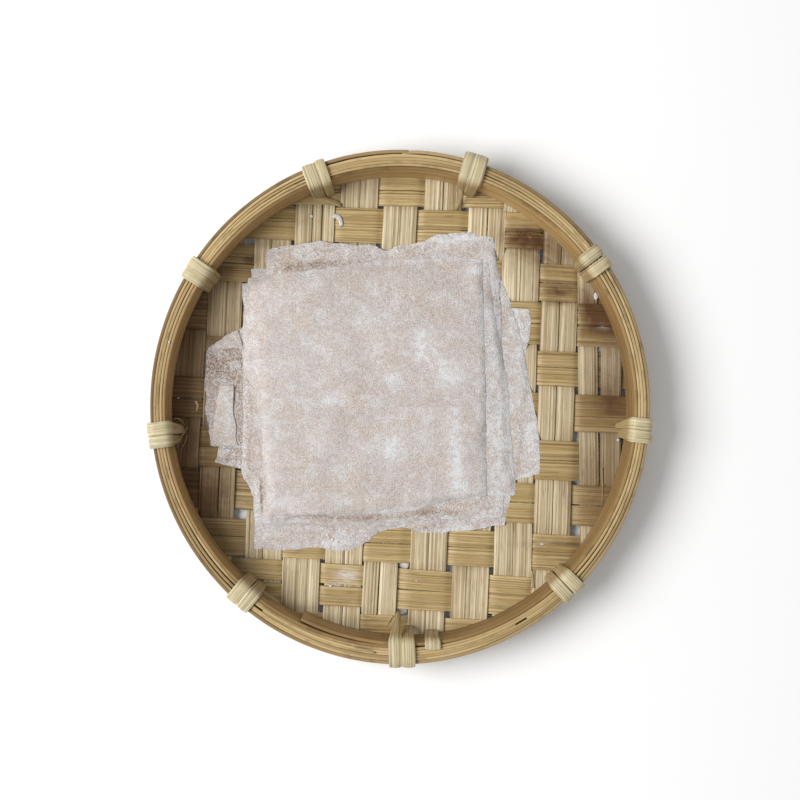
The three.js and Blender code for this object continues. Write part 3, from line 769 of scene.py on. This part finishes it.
# Front, right, back and left sides of each sheet from the lowest up, and how crumpled it is. Front
# and back sides run from left to right, left and right ones from front to back.
SHEETS = [
    {"front": [(-70.1, -20.9), (-65.9, -21.7), (-60.6, -23.5), (11, -46.3)],
     "right": [(11, -46.3), (37.9, 35.6)],
     "back": [(-43.2, 57.0), (37.9, 35.6)],
     "left": [(-70.1, -20.9), (-69, -17.1), (-43.2, 57.0)], "crumple": 0.25},
    {"front": [(-71.7, -14.8), (-66.2, -15.6), (17.4, -16.3)],
     "right": [(17.4, -16.3), (15.1, 44.2)],
     "back": [(-72.7, 22.3), (-68.5, 25.7), (-60.5, 29.5), (-37.8, 40.4), (15.1, 44.2)],
     "left": [(-71.7, -14.8), (-73.4, -0.8), (-73.8, 10.2), (-73.4, 17.7), (-72.7, 22.3)],
     "crumple": 0.5},
    {"front": [(-55.2, -53.7), (-45.7, -54.4), (-36.6, -54.1), (-33.2, -52.9), (-29.5, -53.1),
               (-25.7, -54.6), (-18.9, -54.4), (-14.7, -52.4), (-11.3, -50.3), (-9.1, -48),
               (-2.3, -46.1), (7.6, -44.6), (33.2, -42)],
     "right": [(33.2, -42), (30.2, 40.4)],
     "back": [(-58.9, 33.6), (30.2, 40.4)],
     "left": [(-55.2, -53.7), (-55.2, -41.6), (-55.7, -34.8), (-56.7, -30.3), (-60.1, -26.3),
              (-59.3, -12.5), (-58.9, 33.6)], "crumple": 0.35},
    {"front": [(-51.3, -44.9), (-20.7, -44.5), (-9, -44.9), (1.9, -45.7), (4.5, -46.4), (6.8, -47.9),
               (16.6, -47.5), (27.1, -46.8), (33.9, -45.3), (39.6, -44.9)],
     "right": [(39.6, -44.9), (40.3, -40.8), (41.9, -34.7), (46.8, -4.9), (47.9, 21.1), (49, 25.6),
               (49.4, 33.5), (49, 36.9)],
     "back": [(-42.2, 40.3), (0, 39.2), (42.6, 37.3), (49, 36.9)],
     "left": [(-51.3, -44.9), (-42.2, 40.3)], "crumple": 0.3},
    {"front": [(-35.4, -42.6), (7.5, -35), (45.2, -27.5), (53.1, -25.3)],
     "right": [(53.1, -25.3), (52.7, -12.1), (52, -4.6), (50.4, 1.5), (47.4, 18.8), (45.2, 27.8),
               (42.5, 36.9), (40.7, 43.3), (38, 48.2), (33.9, 63.2)],
     "back": [(-54.2, 45.1), (33.9, 63.2)],
     "left": [(-35.4, -42.6), (-54.2, 45.1)], "crumple": 0.25},
    {"front": [(-53, -44.3), (-33.8, -44), (-9.4, -43.6), (17.7, -42.5), (38.7, -41.7)],
     "right": [(38.7, -41.7), (40.2, -19.9), (36.8, 21.4), (34.6, 54.4)],
     "back": [(-56.3, 52.2), (-37.6, 52.9), (0, 54.4), (34.6, 54.4)],
     "left": [(-53, -44.3), (-56.3, 52.2)], "crumple": 0.2},
    {"front": [(-48.7, -29.3), (38.6, -23.6)],
     "right": [(38.6, -23.6), (38.6, 28.8), (37.9, 48), (36.6, 54.3), (35.6, 64.1)],
     "back": [(-50.6, 59.2), (-45.4, 60.7), (-38.6, 61.5), (-29.6, 62.6), (-22.9, 61.8), (-9.4, 60.9),
              (-4.5, 58.5), (-2.2, 60.5), (3.7, 61.5), (9, 62.4), (12.7, 64.8), (18.7, 65.4),
              (26.2, 66.2), (30, 64.5), (35.6, 64.1)],
     "left": [(-48.7, -29.3), (-50.2, 50.2), (-50.8, 55.8), (-50.6, 59.2)], "crumple": 0.45},
    {"front": [(-59.8, -21.9), (-57, -23.6), (-54.4, -24.5), (-51.7, -27.3), (-26.2, -34.1),
               (30.7, -34.8)],
     "right": [(30.7, -34.8), (29.2, 51.3)],
     "back": [(-59.9, 46.6), (-37.4, 49.8), (29.2, 51.3)],
     "left": [(-59.8, -21.9), (-59.5, -15.4), (-58.9, -2.3), (-59.1, 7.1), (-59.5, 17.6),
              (-59.1, 36.3), (-59.9, 46.6)], "crumple": 0.2},
    {"front": [(-46.7, -42.2), (-7.5, -37.8), (32.9, -33.6), (43.5, -33.6)],
     "right": [(43.5, -33.6), (43.7, -27.7), (41.8, -9.7), (41.3, 2.6), (38.5, 20.9), (36.6, 30.6),
               (34.7, 41.1), (33.8, 49.3), (33.3, 54.2)],
     "back": [(-56.8, 46.3), (33.3, 54.2)],
     "left": [(-46.7, -42.2), (-56.8, 46.3)], "crumple": 0.2},
    {"front": [(-49.6, -41.0), (-36.2, -40.7), (-26.1, -41.2), (-17.9, -41.0), (-7.5, -40.3),
               (5.2, -39.2), (11.2, -37.3), (18.3, -35.1), (32.8, -33.6)],
     "right": [(32.8, -33.6), (32.4, -16), (32.3, 2.6), (31.7, 21.2), (31.3, 39.9), (31.0, 55.9)],
     "back": [(-57.4, 48.8), (-41, 50.7), (-22.4, 52.9), (-14.2, 54.8), (0, 55.6), (18.6, 56.1),
              (31.0, 55.9)],
     "left": [(-49.6, -41), (-50.9, -31), (-51.5, -19.8), (-52.2, -10.5), (-53.1, -3), (-54.1, 6.3),
              (-57.1, 10.1), (-59.1, 12.7), (-59.5, 21.2), (-58.9, 36.2), (-57.4, 48.8)],
     "crumple": 0.12},
]
# Where a sheet stands off the ones under it: sheet, middle, how far, and how wide the swell is
SHEET_LIFTS = [
    (7, (-26, 60), 0.9, 16), (9, (-32, -41), 0.5, 12), (10, (-34, -42), 1.0, 7),
    (10, (-32, 53), 1.0, 14), (10, (-50.5, -35), 0.7, 7)]
# Flour lying thicker, or rubbed off where the amount is negative; the last five take flour off to paint
# shadow along sheet 10's front and left edges: sheet, middle, half-size, amount
FLOUR_AND_SHADE_DRIFTS = [
    (10, (20.9, -17), (2.4, 18), 0.42), (10, (22, -29), (4, 6), 0.35),
    (10, (-3, -15), (3.5, 5.5), 0.50), (10, (8.5, 23), (4, 6), 0.50), (10, (18, 13), (6, 6), 0.42),
    (10, (-2.3, 11), (5, 4), 0.32), (10, (27, 51), (3, 6), 0.25), (10, (-30, 22.5), (9, 7), 0.12),
    (10, (-15, 32.6), (6, 4), 0.20), (10, (-24, 2.6), (5, 2.2), 0.35),
    (10, (-32, -11), (4, 3), 0.20), (10, (-21, -35), (5, 2), 0.35), (10, (-45, -36), (3, 3), 0.28),
    (10, (-24, -24), (3, 2), 0.25), (10, (-56, 24), (2.5, 16), 0.12), (9, (38, 0), (4, 60), 0.38),
    (9, (36, 20), (2, 12), 0.15), (8, (-58, 42), (2, 5), 0.35), (7, (20, 64), (9, 1.8), 0.60),
    (7, (-44, 57), (6, 5), -0.1), (7, (37, 30), (4, 40), 0.30), (6, (38, 0), (4, 60), 0.40),
    (5, (48, 15), (9, 50), 0.12), (5, (46, 26), (3, 12), 0.20), (5, (50, -12), (3, 8), 0.20),
    (4, (45, 10), (8, 45), 0.24), (3, (-54, -35), (3, 14), 0.20), (3, (-26, -52), (5, 3), 0.30),
    # The last five take flour off to paint shadow along sheet 10's front and left edges.
    (6, (-14, -41.9), (26, 1.0), -0.40), (6, (-52.4, -33), (0.8, 8), -0.45),
    (6, (12, -39.8), (10, 1.2), -0.3), (10, (-33.5, -41.2), (6, 0.5), -0.6),
    (10, (-51.3, -32), (0.5, 7), -0.5)]
# Damp, browner dough, and painted shadows along the edges of sheets that lie above: sheet, middle,
# half-size, how damp, and for a shadow how dark. The widest ones tint a whole sheet.
DAMP_AND_SHADE_PATCHES = [
    (2, (-60, 0), (200, 200), 0.60), (3, (0, 0), (200, 200), 0.22), (4, (0, 0), (200, 200), 0.12),
    (3, (-57, 0), (5, 60), 0.2), (8, (-58, 0), (4, 60), 0.45), (10, (-57, 10), (3, 50), 0.12),
    # (10, (22.3, -17)) paints shade along a crease in sheet 10.
    (10, (-40.6, 37.5), (0.6, 4.5), 0.45), (10, (22.3, -17), (0.7, 16), 0.14),
    (6, (0, 0), (200, 200), 0.10), (7, (0, 60), (200, 30), 0.12), (2, (-66, 16), (9, 8), 0.8),
    (2, (-60, 8), (5, 9), 0.4), (2, (-63, -13), (9, 4), 0.4), (8, (-57.5, -24), (3.5, 4), 0.5),
    # The thin patches on sheet 7 at y 52.6 to 54.8, on this line and the next, paint shadow under sheet
    # 10's lifted back edge, on dough that is browner there too.
    (7, (-15, 59), (24, 3), 0.35), (7, (-41, 52.6), (6, 1.3), 0.9), (7, (-31, 53.8), (7, 1.3), 1.0),
    (7, (-21, 54.8), (5, 1.1), 0.7), (1, (-63, -20), (9, 5), 0.7), (1, (20, 0), (200, 200), 0.35),
    (4, (-20, -47), (30, 2.5), 0.22), (4, (22, -46), (18, 3), 0.25), (7, (-47, 50), (4, 8), 0.2),
    # (6, (20, -43)) paints shade in front of sheet 10's front edge.
    (5, (47, -8), (4, 14), 0.12), (4, (44, 32), (5, 9), 0.15), (6, (20, -43), (30, 2), 0.2),
    (10, (-12, 8), (7, 6), 0.12), (10, (-18, 42), (26, 8), 0.12), (10, (4, 34), (8, 8), 0.1),
    # The next five patches, to (6, (-52.4, -33)), paint shadow along sheet 10's front and left edges.
    (10, (-33.5, -41.2), (5, 0.45), 1.0), (10, (-51.3, -32), (0.5, 6), 0.7),
    (6, (-14, -41.8), (26, 1.0), 0.4), (6, (12, -39.8), (10, 1.2), 0.5),
    (6, (-52.4, -33), (0.8, 8), 0.8), (10, (-34, 38), (3, 2), 0.15),
    (10, (-32.6, -2.3), (3, 1.5), 0.2), (9, (34.7, -2), (1.5, 2.5), 0.25)]

SIDE_PASSES = 4  # in which a side's corners are rounded
SIDE_FRAYS = [(0, (0.55, 0.22, 1)), (4, (0.3, 0.9, 1))]  # seed step, and how it frays
LEAST_RAGGED = 0.5
CORNER_CELLS = 4  # a side frays less and less over this many cells towards a corner


def side_points(corners, seed, ragged):
    """Points evenly spaced along a side, softened and then frayed a little."""
    line, samples = evenly_along(corners, SHEET_CELLS + 1, SIDE_PASSES)
    steps = np.arange(SHEET_CELLS + 1)
    held = np.minimum(1, np.minimum(steps, steps[::-1]) / CORNER_CELLS)
    for k in (0, 1):
        frays = [sum(wobble(seed + 9 * k + step, unevenness, s) for step, unevenness in SIDE_FRAYS)
                 for s in samples]
        line[:, k] += ragged * np.array(frays) * held
    return line


def spread_patch(sheet, seed):
    """The flat places of a sheet's grid, filled in between its four sides."""
    ragged = LEAST_RAGGED + sheet["crumple"]
    front, right, back, left = (
        side_points(sheet[name], seed + 31 * k, ragged)
        for k, name in enumerate(("front", "right", "back", "left")))
    u = np.linspace(0, 1, SHEET_CELLS + 1)[:, None, None]
    v = np.linspace(0, 1, SHEET_CELLS + 1)[None, :, None]
    between = (1 - v) * front[:, None] + v * back[:, None] + (1 - u) * left[None] + u * right[None]
    corners = ((1 - u) * (1 - v) * front[0] + u * (1 - v) * front[-1]
               + (1 - u) * v * back[0] + u * v * back[-1])
    return between - corners


PILE_CELL = 0.75  # of the height field of what has been laid on the tray so far
PILE_REACH = 87.0
BEND_REACH = 2  # cells over which a sheet bends down past an edge
BEND_SOFTNESS = 0.6
MAT_TOP = 1.9  # height of the mat's uppermost strips where it is flat


def pile_index(places):
    """Places in cells of the pile's height field, held just short of its last cell."""
    return np.clip((places + PILE_REACH) / PILE_CELL, 0, pile.shape[0] - 1.001)


def sample_pile(field, places):
    """Heights of a field at flat places, blended between its cells."""
    cells = pile_index(places)
    low = cells.astype(int)
    share = cells - low
    i, j = low[..., 0], low[..., 1]
    a, b = share[..., 0], share[..., 1]
    return ((1 - a) * (1 - b) * field[i, j] + a * (1 - b) * field[i + 1, j]
            + (1 - a) * b * field[i, j + 1] + a * b * field[i + 1, j + 1])


def settled(field):
    """The pile with its small pits filled, as a sheet's thin edge lies down on it."""
    for pick in (np.maximum, np.minimum):
        for axis in (0, 1):
            field = pick(field, pick(np.roll(field, 1, axis), np.roll(field, -1, axis)))
    return field


def softened(field):
    """The pile as a sheet laid over it follows it: raised near each edge, and never lower."""
    raised = field.copy()
    for i in range(-BEND_REACH, BEND_REACH + 1):
        for j in range(-BEND_REACH, BEND_REACH + 1):
            if math.hypot(i, j) < BEND_REACH + 0.5:
                raised = np.maximum(raised, np.roll(field, (i, j), (0, 1)))
    weights = np.exp(-(np.arange(-BEND_REACH, BEND_REACH + 1) / (BEND_REACH * BEND_SOFTNESS)) ** 2)
    weights /= weights.sum()
    for axis in (0, 1):
        raised = sum(w * np.roll(raised, k - BEND_REACH, axis) for k, w in enumerate(weights))
    return raised


axis_places = np.arange(-PILE_REACH, PILE_REACH + PILE_CELL, PILE_CELL)
pile = MAT_TOP + mat_rise(axis_places[:, None], axis_places[None])

# How high a sheet crumples, and how much flour clings to its cut sides, more at the right, where it
# also paints light over the shade of the sheets' right edges
CRUMPLE_MIDDLE = 0.5
COARSE_CRUMPLES = (0.5, 0.09, 0.09)
FINE_CRUMPLES = (0.35, 0.25, 0.25)
CRUMPLE_CELLS = 7  # a sheet crumples less and less over this many cells towards its edge
CLINGS_LEFT, CLINGS_AND_LIGHTENS_RIGHT = 0.25, 0.8
CLINGS_MIDDLE = 0.8
CLINGS_VARIES = (1.0, 0.2, 0.2)
CLINGS_CELLS = 1.2  # over which it thins out inwards
SHEET_GRAIN_STEP = 3.3

for number, sheet in enumerate(SHEETS, start=1):
    seed = 500 + 17 * number
    places = spread_patch(sheet, seed)
    steps = np.minimum(np.arange(SHEET_CELLS + 1), np.arange(SHEET_CELLS + 1)[::-1])
    inside = np.minimum.outer(steps, steps)
    full = THIN_EDGE + (1 - THIN_EDGE) * np.minimum(1, inside / EDGE_CELLS)
    raised = np.minimum(1, inside / SETTLED_CELLS)
    heights = (raised * sample_pile(softened(pile), places)
               + (1 - raised) * sample_pile(settled(pile), places))
    heights += SHEET_AIR + SHEET_THICKNESS * full
    for which, middle, lift, width in SHEET_LIFTS:
        if which == number:
            distance = np.hypot(places[..., 0] - middle[0], places[..., 1] - middle[1])
            heights += lift * np.exp(-(distance / width) ** 2)
    crumples = [CRUMPLE_MIDDLE + wobble(seed, COARSE_CRUMPLES, x, y)
                + wobble(seed + 1, FINE_CRUMPLES, x, y) for x, y in places.reshape(-1, 2)]
    crumples = np.maximum(0, crumples).reshape(heights.shape)
    heights += sheet["crumple"] * crumples * np.minimum(1, inside / CRUMPLE_CELLS)

    def corner(u, v):
        """The grid's point at a share of the way along and across the sheet."""
        return round(u * SHEET_CELLS), round(v * SHEET_CELLS)

    def amount(table, x, y):
        """How much of what a table places on this sheet lies at a place."""
        return sum(power * spot(x, y, middle, size)
                   for which, middle, size, power in table if which == number)

    def flour_amount(u, v):
        """The drifts, and the flour that clings along the cut sides, most at the right, where it also
        paints light over the shade of the right edges.
        """
        x, y = places[corner(u, v)]
        cells_in = min(u, 1 - u, v, 1 - v) * SHEET_CELLS
        clinging_and_lightening = (CLINGS_AND_LIGHTENS_RIGHT if u > 0.5 else CLINGS_LEFT) * math.exp(-cells_in / CLINGS_CELLS)
        clinging_and_lightening *= CLINGS_MIDDLE + wobble(seed + 7, CLINGS_VARIES, x, y)
        return amount(FLOUR_AND_SHADE_DRIFTS, x, y) + clinging_and_lightening

    bm = bmesh.new()
    add_grid(
        bm, SHEET_CELLS, SHEET_CELLS,
        lambda u, v: on_tray(*places[corner(u, v)],
                             heights[corner(u, v)] - SHEET_THICKNESS * full[corner(u, v)] / 2),
        full=lambda u, v: float(full[corner(u, v)]),
        spread=lambda u, v: (*places[corner(u, v)], seed * SHEET_GRAIN_STEP),
        flour=flour_amount,
        damp=lambda u, v: amount(DAMP_AND_SHADE_PATCHES, *places[corner(u, v)]))
    piece = make_piece(f"dough_sheet_{number}", bm, floury_dough, [f"sheet_{number}"],
                       SHEET_THICKNESS)
    piece.modifiers.new("even_shading", "WEIGHTED_NORMAL")
    group = piece.vertex_groups.new(name="full")
    for index, share in enumerate(piece.data.attributes["full"].data):
        group.add([index], (share.value - THIN_EDGE) / (1 - THIN_EDGE), "REPLACE")
    piece.modifiers["thickness"].vertex_group = "full"
    piece.modifiers["thickness"].thickness_vertex_group = THIN_EDGE
    cells = np.rint(pile_index(places.reshape(-1, 2))).astype(int)
    np.maximum.at(pile, (cells[:, 0], cells[:, 1]), heights.ravel())

# ---------------------------------------------------------------------------------------
# Loose bits. Flakes and crumbs of dry dough, heaps of flour caught in the mat's gaps, and thin
# fibres split off the bamboo and cane. Each rests where it fell, or hangs from what it split off.

bpy.context.view_layer.update()
laid_out = bpy.context.evaluated_depsgraph_get()
GAP_HEIGHT = 1.5  # of what is caught in a gap between strips
LOOK_FROM = 60  # a height over everything on the tray


def top_at(x, y):
    """Height of what lies uppermost at a place on the tray, or of what a gap there holds."""
    hit, point, *_ = bpy.context.scene.ray_cast(
        laid_out, on_tray(x, y, LOOK_FROM), Vector((0, 0, -1)))
    return max(GAP_HEIGHT, point.z / MM) if hit else GAP_HEIGHT


LUMP_MIDDLE = 0.5  # of its half-height, over what it lies on
LUMP_UNEVEN = 0.35
LUMP_WAVES = 1.6
LUMP_CUTS = 3
LUMP_FLOUR = 0.45
LUMP_GRAIN_STEP = 1.7
LUMP_SHAPE_STEP = 3.1


def add_lump(bm, x, y, half_sizes, seed):
    """Adds a crumb or heap: an uneven ball, sunk a little into what it lies on."""
    spread = surface_layer(bm, "spread", True)
    flour = surface_layer(bm, "flour", False)
    across, deep, tall = half_sizes
    middle = top_at(x, y) + LUMP_MIDDLE * tall
    for vertex in bmesh.ops.create_icosphere(bm, subdivisions=LUMP_CUTS, radius=1)["verts"]:
        noise_place = vertex.co * LUMP_WAVES + Vector((seed * LUMP_SHAPE_STEP, 0, 0))
        p = vertex.co * (1 + LUMP_UNEVEN * noise.noise(noise_place))
        vertex[spread] = (x + p.x * across, y + p.y * deep, seed * LUMP_GRAIN_STEP)
        vertex[flour] = LUMP_FLOUR
        vertex.co = on_tray(x + p.x * across, y + p.y * deep, middle + p.z * tall)


SHRED_CELLS = (12, 3)
SHRED_WIDTH_VARIES = (0.3, 4, 1)
SHRED_OVER = 0.2  # its middle surface over what it lies on
SHRED_ARCH = 0.35  # against how far it is bowed aside
ARCH_TILT = 0.6  # how much less of that one side has
FIBRE_STAIN = 0.55
SHRED_GRAIN_STEP, FIBRE_GRAIN_STEP = 2.3, 2.9


def add_shred(bm, start, end, widths, bow, heights, flour, seed):
    """Adds a thin flake or fibre from start to end, bowed aside, its middle a little raised."""
    start, end = Vector(start), Vector(end)
    along = end - start
    aside = Vector((-along.y, along.x)).normalized()
    from_height, to_height = heights or (max(top_at(*start), top_at(*end)),) * 2

    def flat(u, v):
        half = (widths[0] + (widths[1] - widths[0]) * u) / 2
        half *= 1 + wobble(seed, SHRED_WIDTH_VARIES, u, v)
        return start + along * u + aside * (bow * math.sin(math.pi * u) + (2 * v - 1) * half)

    def place(u, v):
        arch = SHRED_ARCH * abs(bow) * math.sin(math.pi * u) * (1 - ARCH_TILT * v)
        return on_tray(*flat(u, v), from_height + (to_height - from_height) * u + SHRED_OVER + arch)

    add_grid(
        bm, *SHRED_CELLS, place,
        spread=lambda u, v: (*flat(u, v), seed * SHRED_GRAIN_STEP), flour=lambda u, v: flour,
        grain=lambda u, v: (along.length * u, widths[0] * v, seed * FIBRE_GRAIN_STEP),
        stain=lambda u, v: FIBRE_STAIN)


# Place and half-sizes of crumbs of dough and heaps of flour
CRUMBS = [
    (-33.4, 72.1, (0.6, 0.5, 0.35)), (74.1, 41.8, (0.8, 1.3, 0.5)), (75.9, 21.6, (1.2, 1.7, 0.6)),
    (82.6, -12.5, (0.6, 0.4, 0.35)), (1.5, -60.0, (2.0, 1.4, 0.4)), (0.3, -77.6, (2.6, 1.1, 0.4)),
    (-29, -58, (0.4, 0.3, 0.25)), (-29.7, -67.3, (0.45, 0.35, 0.3)), (-26.3, -67.8, (0.55, 0.4, 0.3)),
    (-24.6, -66.9, (0.4, 0.3, 0.25)), (6.2, -65.8, (0.35, 0.25, 0.2)),
    (53.7, -51.9, (0.7, 0.3, 0.2)), (-83.9, 3.4, (0.45, 0.35, 0.3)),
    (-27.5, -48.5, (0.6, 0.4, 0.3)), (-25.6, -50.2, (0.5, 0.4, 0.3)), (-23.8, -51.0, (0.5, 0.35, 0.3)),
    (-37, 57.0, (0.5, 0.35, 0.3)), (-31.5, 57.6, (0.6, 0.35, 0.3)), (-28.6, 57.2, (0.4, 0.3, 0.25)),
    (-64.5, -16.5, (0.6, 0.45, 0.3)), (-62.6, -17.8, (0.6, 0.4, 0.3)), (-66.4, -15.2, (0.5, 0.4, 0.3)),
    (-85.2, 24.0, (0.45, 0.35, 0.3)), (-69.3, -1.8, (0.5, 0.5, 0.3)), (33.5, 63.0, (0.6, 0.4, 0.3)),
    (13.6, 64.3, (1.0, 0.35, 0.2)), (15.1, 64.8, (1.2, 0.5, 0.2)), (17.2, 64.9, (1.3, 0.4, 0.25)),
    (19.4, 65.3, (1.2, 0.5, 0.2)), (21.6, 65.5, (1.4, 0.35, 0.25)), (24.0, 65.6, (1.1, 0.45, 0.2)),
    (25.9, 65.2, (0.9, 0.35, 0.2)), (-1.6, 60.2, (0.9, 0.4, 0.25)), (-46.5, 59.8, (0.9, 0.4, 0.25)),
]
# Both ends, widths there, how far it is bowed, and the heights of its ends where they don't lie on
# what is under them. Flakes of dough also say how floury they are, and fibres aren't floury.
FLAKES = [
    ((-25.2, 72.4), (-22.2, 68.4), (2.0, 1.4), 1.1, None, 0.4),
    ((-71.0, 22.4), (-60.2, 25.6), (0.8, 7.5), 0.2, None, 0.0),
    ((-65.4, 8.0), (-65.6, -14.6), (5.0, 9.5), -0.7, None, 0.0)]
FIBRES = [
    ((76.3, -23), (76.3, -37), (0.35, 0.25), 0.2, None),
    ((49.6, -61.6), (50.2, -68.4), (0.5, 1.3), 0.2, None),
    ((-80.1, -7.6), (-84.7, -15.4), (0.3, 0.15), 0.1, None),
    ((-81.7, -9.5), (-84.0, -15.6), (0.3, 0.15), -0.2, None),
    ((-80.4, -10.8), (-83.0, -16.8), (0.3, 0.15), 0.2, None),
    ((-85.0, -4.2), (-82.0, -5.4), (0.4, 0.2), 0.3, (8, 7.4)),
    ((-83.4, -4.2), (-81.2, -7.0), (0.3, 0.15), 0.2, (7, 5.5)),
    ((-3.6, -83.6), (-0.9, -77.8), (0.6, 0.25), 0.3, None),
    ((-4.6, -82.0), (-2.2, -78.6), (0.5, 0.2), 0.2, None),
    ((-53.6, -68.4), (-44.8, -73.2), (2.8, 0.4), 0.1, (13.5, 12)),
    ((22.6, 82.6), (20.8, 74.4), (1.7, 0.8), 1.1, (10, 4.6)),
    ((-32.4, 79.0), (-22.2, 76.0), (2.4, 1.6), 0.4, (7.5, 4.8)),
    ((-77.3, 2.3), (-77.0, -1.5), (1.2, 0.7), 0.6, None),
    ((-17.0, -89.1), (-9.4, -90.6), (1.4, 0.7), 0.2, (20.3, 20.3))]
FLAKE_THICKNESS = 0.25
FIBRE_THICKNESS = 0.2

bm = bmesh.new()
for number, (x, y, half_sizes) in enumerate(CRUMBS):
    add_lump(bm, x, y, half_sizes, 700 + number)
make_piece("crumbs", bm, floury_dough)
bm = bmesh.new()
for number, flake in enumerate(FLAKES):
    add_shred(bm, *flake, 740 + number)
flakes = make_piece("flakes", bm, floury_dough, thickness=FLAKE_THICKNESS)
flakes.modifiers.new("even_shading", "WEIGHTED_NORMAL")
bm = bmesh.new()
for number, fibre in enumerate(FIBRES):
    add_shred(bm, *fibre, 0.0, 760 + number)
make_piece("fibres", bm, cane_bamboo, thickness=FIBRE_THICKNESS)

# ---------------------------------------------------------------------------------------
# Floor, light and camera. A plain pale floor, one large soft light from the left and a weak
# even light from all round. The camera looks straight down from over the tray's middle.

FLOOR_ROUGHNESS = 0.9
FLOOR_SPECULAR = 0.1
FLOOR_COLOUR = paint(250, 250, 250)
FLOOR_REACH = 3.0  # in metres, as the next two
KEY_DISTANCE = 1.3
KEY_SIZE = 0.85
KEY_POWER = 17.5  # in watts
KEY_RISE = math.radians(48)  # over the floor
KEY_SIDE = math.radians(179)  # round from the right
ROOM_LIGHT = 0.44
CAMERA_PLACE = (-0.04, 3.246, 650.0)
CAMERA_LENS = 76.8
CAMERA_NEAREST = 0.01  # in metres

bm = bmesh.new()
bmesh.ops.create_grid(bm, x_segments=2, y_segments=2, size=FLOOR_REACH)
floor_mesh = bpy.data.meshes.new("floor")
bm.to_mesh(floor_mesh)
bm.free()
floor_finish = Finish("pale_floor", FLOOR_ROUGHNESS, FLOOR_SPECULAR)
floor_finish.shader.inputs["Base Color"].default_value = FLOOR_COLOUR
floor_mesh.materials.append(floor_finish.material)
floor = bpy.data.objects.new("floor", floor_mesh)
bpy.context.scene.collection.objects.link(floor)
floor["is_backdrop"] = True

key = bpy.data.lights.new("key_light", "AREA")
key.shape = "DISK"
key.size = KEY_SIZE
key.energy = KEY_POWER
key_lamp = bpy.data.objects.new("key_light", key)
toward = Vector((math.cos(KEY_SIDE) * math.cos(KEY_RISE), math.sin(KEY_SIDE) * math.cos(KEY_RISE),
                 math.sin(KEY_RISE)))
key_lamp.location = toward * KEY_DISTANCE
key_lamp.rotation_euler = toward.to_track_quat("Z", "Y").to_euler()
bpy.context.scene.collection.objects.link(key_lamp)

world = bpy.data.worlds.new("soft_room")
bpy.context.scene.world = world
world.use_nodes = True
room = world.node_tree.nodes["Background"]
room.inputs["Color"].default_value = (1.0, 1.0, 1.0, 1.0)
room.inputs["Strength"].default_value = ROOM_LIGHT

view = bpy.data.cameras.new("camera")
view.lens = CAMERA_LENS
view.clip_start = CAMERA_NEAREST
camera = bpy.data.objects.new("camera", view)
camera.location = Vector(CAMERA_PLACE) * MM
bpy.context.scene.collection.objects.link(camera)
bpy.context.scene.camera = camera
bpy.context.scene.view_settings.view_transform = "Standard"

low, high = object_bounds()
{"cad": [list(cad_low), list(cad_high)], "visual": [list(low), list(high)]}
